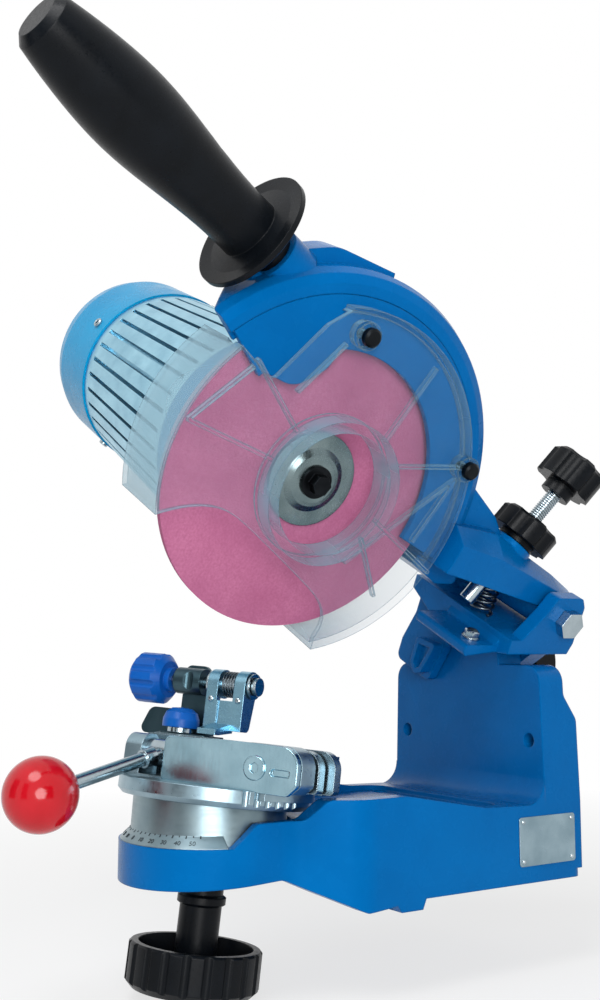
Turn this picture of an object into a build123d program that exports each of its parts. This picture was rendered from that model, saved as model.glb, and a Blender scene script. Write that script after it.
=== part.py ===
from build123d import *
import math
import os

os.makedirs("parts", exist_ok=True)

# Bench chain sharpener in millimetres, +Z up, the operator stands on the -Y side.
# The origin lies between the two bench bolts, on the top of the bench.

# Clearances
running_gap = 0.05
sliding_gap = 0.4
swivel_gap = 0.3

# Base casting
base_half_width = 58.5
base_rear = 49
base_top = 36
wall = 6
bench_edge = -50
bench_bolt_reach = 40
bench_bolt_radius = 4.5
bench_boss_radius = 11
pad_radius = 41
pad_center = -129
pad_top = 27
pad_bottom = 9
pad_recess_radius = 36.6
side_wall_top = 36.7
crest_top = 45.5

# Column that carries the head
column_front = 25
column_head_thickness = 16
column_skin = 9
shoulder_height = 103
shoulder_radius = 9
column_taper = 2.5
head_radius = 27
tilt_axis_rise = 1.25
tilt_axis_height = shoulder_height + tilt_axis_rise
wall_bolt_reach = 48
wall_bolt_height = 66
wall_bolt_radius = 3.5
root_fillet = 12

# Swivelling vise on its leaning axis
swivel_lean = 7.5
swivel_turn = 28
swivel_seat_height = 42
wedge_radius = 36
wedge_top_radius = 33
scale_ledge_rise = 7.5
pivot_radius = 6
vise_disc_radius = 44
vise_disc_thickness = 8
jaw_gap = 1.6
jaw_thickness = 6
jaw_floor = 9.3
jaw_top = 27.5
jaw_left = -40
jaw_right = 60
guide_pin_radius = 3
guide_pin_height = 14.5
guide_pin_left = -32
guide_pin_right = 46
clamp_shaft_radius = 5
clamp_lobe_radius = 6
clamp_throw = 2
clamp_height = 20
clamp_lobe_left = -27
clamp_lobe_right = 27
lug_thickness_left = 9
lug_thickness_right = 28
lever_root_place = -19.5
lever_side_reach = 15.5
lever_front_reach = 64.4
lever_drop = 22.1
lever_radius = 3.2
ball_radius = 16

# Chain stop behind the jaws
stop_axis_back = 21
stop_axis_height = 54
stop_screw_radius = 3
stop_knob_radius = 12.5
stop_knob_length = 18
stop_knob_left = -65
stop_sleeve_radius = 4.6
pawl_left = -20
pawl_right = 1.2
pawl_plate = 2.4
stop_plate = 2.5
lock_dome_radius = 9
lock_dome_height = 11

# Lock knob under the pad
lock_knob_radius = 30
lock_knob_rim = -62.5
lock_knob_bottom = -82
lock_hub_radius = 9.5
lock_hub_top = -37.5
lock_washer_thickness = 3

# Tilting saddle, in the tilt frame: s along the wheel axis, y, and w up from the tilt axis
head_tilt = 26.5
saddle_half_width = 41
cheek_inner = 33
arm_relief = 3.3
hinge_y = 45
hinge_w = 43
hinge_pin_radius = 5
barrel_radius = 9.5
barrel_room = 1
saddle_web_top = hinge_w - barrel_radius - barrel_room
ledge_drop = 6.5
ledge_top = saddle_web_top - ledge_drop
ledge_front = -9
tilt_shaft_radius = 7

# Head: wheel centre in the tilt frame
wheel_s = 8
wheel_y = -108.5
wheel_w = 97
wheel_radius = 72.5
wheel_thickness = 3.2
wheel_bore_radius = 11.1
flange_radius = 22
shaft_radius = 6
arm_near = cheek_inner - arm_relief
arm_far = -28
arm_slope = 10

# Head casting, in the wheel frame
drum_radius = 94.7
drum_wall = 10.5
drum_front = 8
drum_back = -21
drum_floor = -9
drum_start_angle = -24
drum_end_angle = 135
drum_end_slant = 24
hub_radius = 43
collar_radius = 57
collar_back = -44
cover_opening = 60.6
cover_thickness = 3

# Clear guard
guard_radius = 80
guard_wall = 2.5
guard_face = 14.5
guard_ring_radius = 33
guard_ring_inner = 28
guard_ring_front = 24
guard_rib_width = 1.6
guard_rib_height = 2.2
guard_screw_radius = 4.2

# Motor
motor_front_radius = 53
motor_back_radius = 47
motor_back = -157
fin_count = 36
fin_slot = 2
fin_depth = 4.5
cap_back = -205
cap_back_radius = 45
cap_shell = 2.6
fan_radius = 38

# Handle
handle_place_y = -40
handle_place_v = 92
handle_place_s = -8
handle_angle = 151.3
handle_length = 131
handle_neck_radius = 9
handle_flange_radius = 27
handle_flange_place = 11
grip_end_radius = 12
grip_belly_radius = 17.4

# Depth screw
depth_s = 12
depth_tip_y = 2
depth_tip_w = 41.3
depth_angle = 58
depth_rod_radius = 4
depth_rod_length = 92
depth_knob_place = 76
depth_knob_radius = 15.5
depth_lock_place = 40.5
depth_lock_radius = 16.5


# Helpers for plain shapes
def block(x0, x1, y0, y1, z0, z1):
    middle = Pos((x0 + x1) / 2, (y0 + y1) / 2, (z0 + z1) / 2)
    return middle * Box(x1 - x0, y1 - y0, z1 - z0)


def rod_x(radius, x0, x1, y=0, z=0):
    return Pos((x0 + x1) / 2, y, z) * Rot(0, 90, 0) * Cylinder(radius, x1 - x0)


def rod_y(radius, y0, y1, x=0, z=0):
    return Pos(x, (y0 + y1) / 2, z) * Rot(90, 0, 0) * Cylinder(radius, y1 - y0)


def rod_z(radius, z0, z1, x=0, y=0):
    return Pos(x, y, (z0 + z1) / 2) * Cylinder(radius, z1 - z0)


def cone_x(radius_0, radius_1, x0, x1):
    return Pos((x0 + x1) / 2, 0, 0) * Rot(0, 90, 0) * Cone(radius_0, radius_1, x1 - x0)


def outline(corners):
    # corners are (across, up, rounding radius)
    face = make_face(Polyline(*[(c[0], c[1]) for c in corners], close=True))
    for across, up, radius in corners:
        if radius:
            corner = face.vertices().sort_by_distance((across, up, 0))[0]
            face = fillet(corner, radius)
    return face


def slab_x(face, x0, x1):
    return extrude(Plane.YZ.offset(x0) * face, x1 - x0)


def slab_y(face, y0, y1):
    return extrude(Plane.XZ.offset(-y1) * face, y1 - y0)


def slab_z(face, z0, z1):
    return extrude(Plane.XY.offset(z0) * face, z1 - z0)


def turned(profile):
    # profile is a list of (radius, height), turned about Z
    face = make_face(Polyline(*profile, close=True))
    return revolve(Plane.XZ * face, Axis.Z)


def sector(radius, start, end, x0, x1):
    # pie slice about X between two angles, measured from +Y towards +Z
    reach = 2 * radius
    count = 8
    step = (end - start) / count
    angles = [math.radians(start + step * k) for k in range(count + 1)]
    rim = [(reach * math.cos(a), reach * math.sin(a), 0) for a in angles]
    wedge = slab_x(outline([(0, 0, 0)] + rim), x0, x1)
    return wedge & rod_x(radius, x0, x1)


def lobed_knob(radius, height, lobes, hub_radius, hub_height):
    # knob standing on Z=0 with rounded lobes and a plain hub below its head
    head = Cylinder(radius, height, align=(Align.CENTER, Align.CENTER, Align.MIN))
    notch = Cylinder(radius * 0.42, 3 * height)
    for k in range(lobes):
        turn = Rot(0, 0, 360 / lobes * (k + 0.5))
        head = head - turn * Pos(radius * 1.28, 0, 0) * notch
    head = chamfer(head.faces().sort_by(Axis.Z)[-1].edges(), height * 0.12)
    hub = Cylinder(hub_radius, hub_height, align=(Align.CENTER, Align.CENTER, Align.MAX))
    return head + hub


def coil_spring(name, radius, wire, length, turns):
    # one unbroken tube along Z: two tangent arcs to each quarter turn
    quarters = int(round(turns * 4))
    rise = length / quarters

    def place(k):
        angle = math.pi / 2 * k
        return Vector(radius * math.cos(angle), radius * math.sin(angle), rise * k)

    def heading(k):
        angle = math.pi / 2 * k
        run = radius * math.pi / 2
        return Vector(-run * math.sin(angle), run * math.cos(angle), rise).normalized()

    arcs = []
    for k in range(quarters):
        start, finish = place(k), place(k + 1)
        out, home = heading(k), heading(k + 1)
        chord = finish - start
        both = out + home
        bow = 2 * (1 - out.dot(home))
        reach = (math.sqrt(chord.dot(both) ** 2 + bow * chord.dot(chord)) - chord.dot(both)) / bow
        near, far = start + out * reach, finish - home * reach
        joint = (near + far) * 0.5
        arcs.append(TangentArc(start, joint, tangent=out))
        arcs.append(TangentArc(joint, finish, tangent=far - near))
    path = Wire(arcs)
    points = [arc @ t for arc in arcs for t in (0.0, 0.25, 0.5, 0.75)]
    skip = 8
    least = min(
        (points[i] - points[j]).length
        for i in range(len(points)) for j in range(i + skip, len(points))
    )
    print(name, "least gap to itself", round(least - 2 * wire, 2), "mm")
    section = Plane(origin=place(0), z_dir=heading(0)) * Circle(wire)
    return sweep(section, path)


# Frames of the three groups
swivel_y = pad_center + math.tan(math.radians(swivel_lean)) * (swivel_seat_height - pad_top)
swivel_frame = Location((0, swivel_y, swivel_seat_height), (-swivel_lean, 0, 0))
vise_frame = swivel_frame * Location((0, 0, 0), (0, 0, swivel_turn))
tilt_frame = Location((0, 0, tilt_axis_height), (0, head_tilt, 0))
wheel_frame = tilt_frame * Location((wheel_s, wheel_y, wheel_w))


# Base casting: bench box, neck, round pad and column in one piece
neck_half = pad_radius
plan_side = [
    (base_half_width, base_rear, 5),
    (-base_half_width, base_rear, 5),
    (-base_half_width, pad_center + 44, 26),
    (-neck_half, pad_center + 18, 20),
    (-neck_half, pad_center, 0),
    (neck_half, pad_center, 0),
    (neck_half, pad_center + 18, 20),
    (base_half_width, pad_center + 44, 26),
]
plan = outline(plan_side) + Pos(0, pad_center) * Circle(pad_radius)
side = outline([
    (base_rear, 0, 0),
    (bench_edge, 0, 0),
    (bench_edge - 2, -4.6, 0),
    (bench_edge - 14, -4.6, 0),
    (bench_edge - 16, -1.5, 0),
    (bench_edge - 32, -3, 4),
    (pad_center + 14, pad_bottom + 3, 8),
    (pad_center - pad_radius - 2, pad_bottom, 0),
    (pad_center - pad_radius - 2, pad_top, 0),
    (pad_center - 10, pad_top, 0),
    (pad_center + 1, side_wall_top, 4),
    (pad_center + 23, side_wall_top, 5),
    (pad_center + 32, crest_top, 5),
    (pad_center + 69, crest_top, 10),
    (-13, base_top + 1, 20),
    (column_front, base_top, 0),
    (base_rear, base_top, 0),
])
low = -12
high = 60
base = slab_z(plan, low, high) & slab_x(side, -base_half_width - 1, base_half_width + 1)

# Column: flat front, round head, thinner above the shoulder
column_face = outline([
    (-base_half_width, 4, 0),
    (base_half_width, 4, 0),
    (base_half_width, base_top, 0),
    (base_half_width - column_taper, shoulder_height, shoulder_radius),
    (column_taper - base_half_width, shoulder_height, shoulder_radius),
    (-base_half_width, base_top, 0),
])
column_face = column_face + Pos(0, tilt_axis_height) * Circle(head_radius)
head_back = column_front + column_head_thickness
column_side = outline([
    (column_front, 4, 0),
    (base_rear, 4, 0),
    (base_rear, 76, 6),
    (head_back, 88, 6),
    (head_back, 140, 0),
    (column_front, 140, 0),
])
column = slab_y(column_face, column_front, base_rear)
column = column & slab_x(column_side, -base_half_width - 1, base_half_width + 1)
root = block(
    -base_half_width, base_half_width,
    column_front - root_fillet, column_front,
    base_top - 4, base_top + root_fillet,
)
root = root - rod_x(
    root_fillet, -base_half_width - 1, base_half_width + 1,
    column_front - root_fillet, base_top + root_fillet,
)
base = base + column + root

# Hollow back of the column with two stiffening ribs and bolt bosses
inner_face = outline([
    (-base_half_width + wall, wall, 0),
    (base_half_width - wall, wall, 0),
    (base_half_width - wall - column_taper, shoulder_height - wall - 12, shoulder_radius),
    (column_taper + wall - base_half_width, shoulder_height - wall - 12, shoulder_radius),
])
hollow = slab_y(inner_face, column_front + column_skin, base_rear + 5)
rib = 5
for place in (-24, 24):
    hollow = hollow - block(place - rib / 2, place + rib / 2, 0, base_rear, 0, shoulder_height)
hollow = hollow - rod_y(14, 0, base_rear + 5, 0, tilt_axis_height)
for place in (-wall_bolt_reach, wall_bolt_reach):
    hollow = hollow - rod_y(9, 0, base_rear, place, wall_bolt_height)
base = base - hollow

# Hollow underside with bench bolt bosses and the pivot boss
under_plan = outline([
    (base_half_width - wall, base_rear - wall, 3),
    (-base_half_width + wall, base_rear - wall, 3),
    (-base_half_width + wall, pad_center + 50, 20),
    (-neck_half + wall, pad_center + 26, 12),
    (-neck_half + wall, pad_center, 0),
    (neck_half - wall, pad_center, 0),
    (neck_half - wall, pad_center + 26, 12),
    (base_half_width - wall, pad_center + 50, 20),
])
under_plan = under_plan + Pos(0, pad_center) * Circle(pad_radius - wall)
roof = outline([
    (base_rear, low, 0),
    (-200, low, 0),
    (-200, pad_top - 9, 0),
    (pad_center + 20, pad_top - 9, 6),
    (pad_center + 30, base_top - 8, 6),
    (base_rear, base_top - 8, 0),
])
under = slab_z(under_plan, low, base_top) & slab_x(roof, -base_half_width, base_half_width)
for place in (-bench_bolt_reach, bench_bolt_reach):
    under = under - rod_z(bench_boss_radius, 0, base_top, place, 0)
    under = under - block(place - rib / 2, place + rib / 2, -80, base_rear, 6, base_top)
under = under - block(-base_half_width, base_half_width, bench_edge - 14, bench_edge - 2, low, base_top)
pivot_boss_bottom = pad_bottom - swivel_seat_height
under = under - swivel_frame * rod_z(16, pivot_boss_bottom, 0)
base = base - under

# Open trough between the side walls, under the sweep of the vise
trough = outline([
    (base_half_width - 8, column_front - root_fillet - 8, 10),
    (-base_half_width + 8, column_front - root_fillet - 8, 10),
    (-base_half_width + 8, pad_center + 48, 20),
    (-pad_recess_radius, pad_center + 24, 12),
    (-pad_recess_radius, pad_center, 0),
    (pad_recess_radius, pad_center, 0),
    (pad_recess_radius, pad_center + 24, 12),
    (base_half_width - 8, pad_center + 48, 20),
])
base = base - slab_z(trough, base_top - 2, high)

# Recess that locates the wedge, and the holes
base = base - rod_z(pad_recess_radius, pad_top, high, 0, pad_center)
base = base - swivel_frame * rod_z(pivot_radius + running_gap, -80, 20)
for place in (-bench_bolt_reach, bench_bolt_reach):
    base = base - rod_z(bench_bolt_radius, low, high, place, 0)
for place in (-wall_bolt_reach, wall_bolt_reach):
    base = base - rod_y(wall_bolt_radius, 0, base_rear + 5, place, wall_bolt_height)
shaft_seat = column_front + 3
base = base - rod_y(tilt_shaft_radius, shaft_seat, base_rear + 5, 0, tilt_axis_height)
export_step(base, "parts/base_casting.step")

# Fixed wedge that leans the swivel axis
wedge_tall = 40
wedge = Pos(0, pad_center, pad_top) * Cone(
    wedge_radius, wedge_top_radius, wedge_tall, align=(Align.CENTER, Align.CENTER, Align.MIN)
)
ledge_rim = pad_radius - 0.6
scale_ledge = Pos(0, pad_center, pad_top) * Cone(
    ledge_rim, wedge_top_radius, scale_ledge_rise, align=(Align.CENTER, Align.CENTER, Align.MIN)
)
front_half = block(-90, 90, pad_center - 90, pad_center - 12, pad_top, 90)
wedge = wedge + (scale_ledge & front_half)
wedge = wedge - swivel_frame * block(-90, 90, -90, 90, 0, 90)
wedge = wedge - swivel_frame * rod_z(pivot_radius + running_gap, -60, 10)
export_step(wedge, "parts/swivel_wedge.step")

# Vise body: round disc, deck, rear block and two lugs for the clamp shaft
deck_top = jaw_floor - 0.3
fixed_front = jaw_gap / 2
fixed_back = fixed_front + jaw_thickness
moving_back = -jaw_gap / 2
moving_front = moving_back - jaw_thickness
clamp_back = moving_front - sliding_gap - clamp_lobe_radius - clamp_throw * math.cos(math.radians(45))
vise_rear = stop_axis_back + 7
rear_block_top = jaw_top - 1.5
lug_front = clamp_back - 8.5
lug_back = moving_front - 2.2
left_lug_end = clamp_lobe_left - sliding_gap
left_lug_start = left_lug_end - lug_thickness_left
right_lug_start = clamp_lobe_right + sliding_gap
right_lug_end = right_lug_start + lug_thickness_right
disc = rod_z(vise_disc_radius, swivel_gap, vise_disc_thickness)
disc = chamfer(disc.edges().group_by(Axis.Z)[0], 2.2)
for k in range(6):
    flute = Rot(0, 0, -40 + 7 * k) * Pos(vise_disc_radius + 0.6, 0, 4) * Cylinder(1.7, 12)
    disc = disc - flute
deck = slab_z(outline([
    (left_lug_start - 3, lug_front, 9),
    (right_lug_end - 2, lug_front, 9),
    (right_lug_end - 2, vise_rear, 9),
    (left_lug_start - 6, vise_rear, 9),
]), 4.5, deck_top)
deck = deck & rod_z(vise_disc_radius + 2, 0, deck_top)
rear_block = slab_z(outline([
    (left_lug_start - 6, fixed_back, 0),
    (right_lug_end - 4, fixed_back, 0),
    (right_lug_end - 4, vise_rear, 9),
    (left_lug_start - 6, vise_rear, 9),
]), deck_top - 0.5, rear_block_top)
left_lug = slab_x(outline([
    (lug_front, deck_top - 0.5, 0),
    (lug_back, deck_top - 0.5, 0),
    (lug_back, clamp_height + 7, 5),
    (lug_front, clamp_height + 7, 7),
]), left_lug_start, left_lug_end)
right_lug = slab_y(outline([
    (right_lug_start, deck_top - 0.5, 0),
    (right_lug_end - 4, deck_top - 0.5, 0),
    (right_lug_end, 12, 3),
    (right_lug_end, jaw_top + 1, 9),
    (right_lug_start, jaw_top + 1, 2),
]), lug_front + 2, lug_back)
boss = rod_y(5.5, lug_front - 0.5, lug_front + 4, right_lug_start + 7, clamp_height - 2)
apron = block(lever_root_place + 8, right_lug_start + 1, lug_front, lug_front + 3, 5, clamp_height - 6.5)
vise_body = disc + deck + rear_block + left_lug + right_lug + boss + apron
slot = block(right_lug_start + 15, right_lug_start + 24, lug_front - 1, lug_front + 4, 15.5, 18.3)
vise_body = vise_body - slot
journal_end = right_lug_start + 16
vise_body = vise_body - rod_x(
    clamp_shaft_radius + running_gap, left_lug_start - 8, journal_end + 1, clamp_back, clamp_height
)
vise_body = vise_body - rod_z(pivot_radius, -5, 6)
lock_stud_place = (-32, fixed_back + 6.5)
lock_stud_radius = 2.5
stud_hole = rod_z(lock_stud_radius + running_gap, guide_pin_height + 4, rear_block_top + 5)
vise_body = vise_body - Pos(*lock_stud_place) * stud_hole
for place in (guide_pin_left, guide_pin_right):
    vise_body = vise_body - rod_y(guide_pin_radius, fixed_back - 1, fixed_back + 8, place, guide_pin_height)
export_step(vise_frame * vise_body, "parts/vise_body.step")

# Pivot bolt that holds the vise down on the wedge
bolt_end = lock_knob_bottom + 8
pivot_bolt = rod_z(pivot_radius, bolt_end, 6)
export_step(vise_frame * pivot_bolt, "parts/pivot_bolt.step")

# Fixed jaw and moving jaw, two plates with a chain groove between them
fixed_face = outline([
    (jaw_left - 2, jaw_floor, 0),
    (jaw_right, jaw_floor, 2),
    (jaw_right, jaw_top + 0.5, 8),
    (jaw_left - 2, jaw_top + 0.5, 6),
])
fixed_jaw = slab_y(fixed_face, fixed_front, fixed_back)
moving_face = outline([
    (jaw_left, jaw_floor, 0),
    (jaw_right - 4, jaw_floor, 2),
    (jaw_right - 4, jaw_top, 8),
    (jaw_left, jaw_top, 6),
])
moving_jaw = slab_y(moving_face, moving_front, moving_back)
pins = None
for place in (guide_pin_left, guide_pin_right):
    fixed_jaw = fixed_jaw - rod_y(guide_pin_radius, -20, 20, place, guide_pin_height)
    moving_jaw = moving_jaw - rod_y(guide_pin_radius + running_gap, -20, 20, place, guide_pin_height)
    pin = rod_y(guide_pin_radius, moving_front + 0.5, fixed_back + 8, place, guide_pin_height)
    pins = pin if pins is None else pins + pin
export_step(vise_frame * fixed_jaw, "parts/fixed_jaw.step")
export_step(vise_frame * moving_jaw, "parts/moving_jaw.step")
export_step(vise_frame * pins, "parts/jaw_guide_pins.step")

# Clamp shaft with an eccentric lobe, its lever rod and ball
throw_part = clamp_throw * math.cos(math.radians(45))
clamp_shaft = rod_x(clamp_shaft_radius, left_lug_start - 1.5, journal_end, clamp_back, clamp_height)
clamp_shaft = clamp_shaft + rod_x(
    clamp_lobe_radius, clamp_lobe_left, clamp_lobe_right,
    clamp_back + throw_part, clamp_height - throw_part,
)
lever_length = math.hypot(lever_side_reach, lever_front_reach, lever_drop)
lever_plane = Plane(
    origin=(lever_root_place, clamp_back, clamp_height),
    z_dir=(-lever_side_reach, -lever_front_reach, -lever_drop),
)
spigot_radius = lever_radius - 0.7
clamp_shaft = clamp_shaft - lever_plane * rod_z(spigot_radius, 1, 20)
collar_start = clamp_lobe_radius + clamp_throw
lever_rod = rod_z(spigot_radius, 1.2, collar_start + 1)
lever_rod = lever_rod + rod_z(lever_radius + 1, collar_start, collar_start + 6)
neck_start = lever_length - ball_radius + 1
lever_rod = lever_rod + rod_z(lever_radius, collar_start + 6, neck_start)
lever_rod = lever_rod + rod_z(spigot_radius, neck_start, lever_length)
lever_ball = Pos(0, 0, lever_length) * Sphere(ball_radius)
lever_ball = lever_ball & block(-30, 30, -30, 30, neck_start, lever_length + 30)
lever_ball = lever_ball - rod_z(spigot_radius, 0, lever_length)
export_step(vise_frame * clamp_shaft, "parts/clamp_shaft.step")
export_step(vise_frame * (lever_plane * lever_rod), "parts/lever_rod.step")
export_step(vise_frame * (lever_plane * lever_ball), "parts/lever_ball.step")

# Chain stop bracket: foot on the rear block, upright plate and a threaded boss
plate_back = vise_rear - 2
plate_front = plate_back - stop_plate
boss_left = stop_knob_left + stop_knob_length + 6
boss_right = pawl_left - 5.5
foot = block(
    left_lug_start - 5, boss_right + 12,
    fixed_back + 0.5, plate_back,
    rear_block_top, rear_block_top + stop_plate,
)
foot = fillet(foot.edges().filter_by(Axis.Z), 3)
wing_top = stop_axis_height - stop_knob_radius - 1.5
upright = slab_y(outline([
    (stop_knob_left + 1, rear_block_top + 1, 3),
    (left_lug_start - 4, rear_block_top, 0),
    (boss_right + 6, rear_block_top, 0),
    (boss_right, stop_axis_height - 12, 4),
    (boss_right, stop_axis_height + 8, 4),
    (boss_left + 1, stop_axis_height + 8, 4),
    (boss_left + 1, wing_top, 0),
    (stop_knob_left + 7, wing_top, 5),
]), plate_front, plate_back)
stop_bracket = foot + upright
stop_bracket = stop_bracket + rod_x(6.5, boss_left, boss_right, stop_axis_back, stop_axis_height)
stop_bracket = stop_bracket - rod_x(
    stop_screw_radius + running_gap, -90, 90, stop_axis_back, stop_axis_height
)
stop_bracket = stop_bracket - Pos(*lock_stud_place) * rod_z(lock_stud_radius + 0.5, 0, 60)
export_step(vise_frame * stop_bracket, "parts/stop_bracket.step")

# Stop screw with its fluted knob
stop_axis = Location((0, stop_axis_back, stop_axis_height))
screw_tip = pawl_right + 2
stop_screw = rod_x(stop_screw_radius, stop_knob_left + 6, screw_tip)
stop_screw = stop_screw + rod_x(stop_screw_radius + 1.4, screw_tip, screw_tip + 2)
knob_end = stop_knob_left + stop_knob_length
stop_knob = rod_x(stop_knob_radius, stop_knob_left, knob_end)
stop_knob = chamfer(stop_knob.edges().group_by(Axis.X)[0], 2.4)
stop_knob = chamfer(stop_knob.edges().group_by(Axis.X)[-1], 3.5)
for k in range(10):
    groove = Rot(36 * k, 0, 0) * rod_x(2.2, stop_knob_left - 1, knob_end + 1, 0, stop_knob_radius + 0.9)
    stop_knob = stop_knob - groove
stop_knob = stop_knob + rod_x(6, knob_end - 1, knob_end + 3)
stop_knob = stop_knob - rod_x(stop_screw_radius, stop_knob_left + 6, knob_end + 5)
export_step(vise_frame * stop_axis * stop_screw, "parts/stop_screw.step")
export_step(vise_frame * stop_axis * stop_knob, "parts/stop_knob.step")

# Sleeve that the screw draws along, with the pawl hinged on it
stop_sleeve = rod_x(stop_sleeve_radius, pawl_left - 1.5, pawl_right + 1.5)
stop_sleeve = stop_sleeve + rod_x(6.2, pawl_left - 1.5, pawl_left - sliding_gap)
stop_sleeve = stop_sleeve + rod_x(6.2, pawl_right + sliding_gap, pawl_right + 1.5)
stop_sleeve = stop_sleeve - rod_x(stop_screw_radius + running_gap, -90, 90)
export_step(vise_frame * stop_axis * stop_sleeve, "parts/stop_sleeve.step")

# Pawl: two knuckles, a hanging plate and a finger that reaches the chain groove
knuckle = 6
knuckle_radius = 7
pawl_middle = (pawl_left + pawl_right) / 2
plate_face = -knuckle_radius
finger_tip = moving_back + 2 - stop_axis_back
finger_low = jaw_top + 2 - stop_axis_height
bend = finger_low + 2.5
pawl = rod_x(knuckle_radius, pawl_left, pawl_left + knuckle)
pawl = pawl + rod_x(knuckle_radius, pawl_right - knuckle, pawl_right)
window = block(pawl_left + knuckle, pawl_right - knuckle, -20, 20, -8, 9)
plate = block(pawl_left, pawl_right, plate_face, plate_face + pawl_plate, bend, 0)
seam = pawl_left + knuckle + 1
plate = plate - block(seam, seam + 1, plate_face - 1, plate_face + 1, bend - 1, 0)
pawl = pawl + (plate - window)
finger = slab_x(outline([
    (plate_face + pawl_plate, bend + 3, 0),
    (plate_face, bend + 3, 0),
    (finger_tip, finger_low + 2.6, 0),
    (finger_tip, finger_low, 0),
    (finger_tip + 3, finger_low, 0),
    (plate_face + pawl_plate, bend - 1, 0),
]), pawl_middle - 5, pawl_middle + 5)
pawl = pawl + finger
for place in (pawl_left, pawl_right - 1.6):
    ear = slab_x(outline([
        (plate_face, 0, 0),
        (plate_face, bend, 0),
        (plate_face + 8, bend, 3),
        (plate_face + 12, 0, 0),
    ]), place, place + 1.6)
    pawl = pawl + ear
pawl = pawl - rod_x(stop_sleeve_radius + running_gap, -90, 90)
export_step(vise_frame * stop_axis * pawl, "parts/chain_pawl.step")

# Return spring wound round the sleeve between the knuckles
coil_wire = 0.45
coil_radius = 5.9
coil_start = pawl_left + knuckle + 0.8
coil_end = pawl_right - knuckle - 0.8
coil_turns = 5
pawl_spring = coil_spring("pawl_spring", coil_radius, coil_wire, coil_end - coil_start, coil_turns)
pawl_spring = Pos(coil_start, 0, 0) * Rot(0, 90, 0) * pawl_spring
export_step(vise_frame * stop_axis * pawl_spring, "parts/pawl_spring.step")

# Dome knob that locks the stop bracket
stud_frame = Location((lock_stud_place[0], lock_stud_place[1], rear_block_top + stop_plate))
stop_lock = turned([
    (0, 2.6),
    (lock_dome_radius, 2.6),
    (lock_dome_radius, 6.5),
    (lock_dome_radius * 0.86, 9.8),
    (lock_dome_radius * 0.55, lock_dome_height + 0.8),
    (0, lock_dome_height + 1.4),
])
stop_lock_stud = rod_z(6.2, 0.2, 2.6) + rod_z(lock_stud_radius, -9, 0.2)
export_step(vise_frame * stud_frame * stop_lock, "parts/stop_lock_knob.step")
export_step(vise_frame * stud_frame * stop_lock_stud, "parts/stop_lock_stud.step")

# Lock knob under the pad: washer, hub and a hollow fluted cup
washer_top = pivot_boss_bottom - 0.2
lock_washer = rod_z(14, washer_top - lock_washer_thickness, washer_top)
lock_washer = lock_washer - rod_z(pivot_radius + running_gap, -80, 0)
cup_wall = 4
lock_knob = turned([
    (0, lock_knob_bottom),
    (lock_knob_radius - 3, lock_knob_bottom),
    (lock_knob_radius, lock_knob_bottom + 3),
    (lock_knob_radius, lock_knob_rim - 1),
    (lock_knob_radius - 1, lock_knob_rim),
    (lock_knob_radius - cup_wall, lock_knob_rim),
    (lock_knob_radius - cup_wall - 1.5, lock_knob_bottom + 6),
    (lock_hub_radius, lock_knob_bottom + 6),
    (lock_hub_radius, lock_hub_top - 8),
    (lock_hub_radius + 1.5, lock_hub_top - 7),
    (lock_hub_radius + 1.5, lock_hub_top - 4),
    (lock_hub_radius, lock_hub_top - 3),
    (lock_hub_radius, lock_hub_top),
    (0, lock_hub_top),
])
for k in range(20):
    groove = rod_z(2.4, lock_knob_bottom - 1, lock_knob_rim + 1, lock_knob_radius + 1.3, 0)
    lock_knob = lock_knob - Rot(0, 0, 18 * k) * groove
lock_knob = lock_knob - rod_z(pivot_radius + running_gap, bolt_end - 4, 0)
export_step(swivel_frame * lock_washer, "parts/lock_washer.step")
export_step(swivel_frame * lock_knob, "parts/lock_knob.step")

# Saddle that tilts on the column's round head
saddle_front = column_front - 13
saddle_back = head_back + 12
seat_radius = head_radius + 2 * swivel_gap
seat_side = saddle_web_top - 7.5
seat_high = seat_radius * 0.66
saddle = slab_y(outline([
    (-saddle_half_width, seat_side, 0),
    (-seat_radius * 0.8, seat_high, 0),
    (seat_radius * 0.8, seat_high, 0),
    (saddle_half_width, seat_side, 0),
    (saddle_half_width, saddle_web_top, 0),
    (-saddle_half_width, saddle_web_top, 0),
]), saddle_front, saddle_back)
cheek_face = outline([
    (saddle_front + 6, seat_side, 0),
    (saddle_back, seat_side, 0),
    (hinge_y + 10, seat_side + 6, 2),
    (hinge_y + 10, hinge_w + 8, 3),
    (hinge_y + 7, hinge_w + 13, 2),
    (hinge_y - 10, hinge_w + 13, 4),
    (hinge_y - 15, hinge_w + 4, 4),
    (saddle_front + 6, saddle_web_top - 1, 2),
])
saddle = saddle + slab_x(cheek_face, cheek_inner, saddle_half_width)
saddle = saddle + slab_x(cheek_face, -saddle_half_width, -cheek_inner)
plate_end = column_front - 2 * swivel_gap
plate_start = head_back + 2 * swivel_gap
saddle = saddle - rod_y(seat_radius, plate_end, plate_start)

# Ledge that the depth screw lands on
ledge_left = -8
ledge = slab_x(outline([
    (ledge_front, ledge_top - 6, 2),
    (plate_end, seat_side - 1, 0),
    (plate_end, saddle_web_top, 0),
    (saddle_front + 2, saddle_web_top, 0),
    (saddle_front - 2, ledge_top, 2),
    (ledge_front, ledge_top, 2),
]), ledge_left, cheek_inner)
saddle = saddle + ledge

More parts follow.
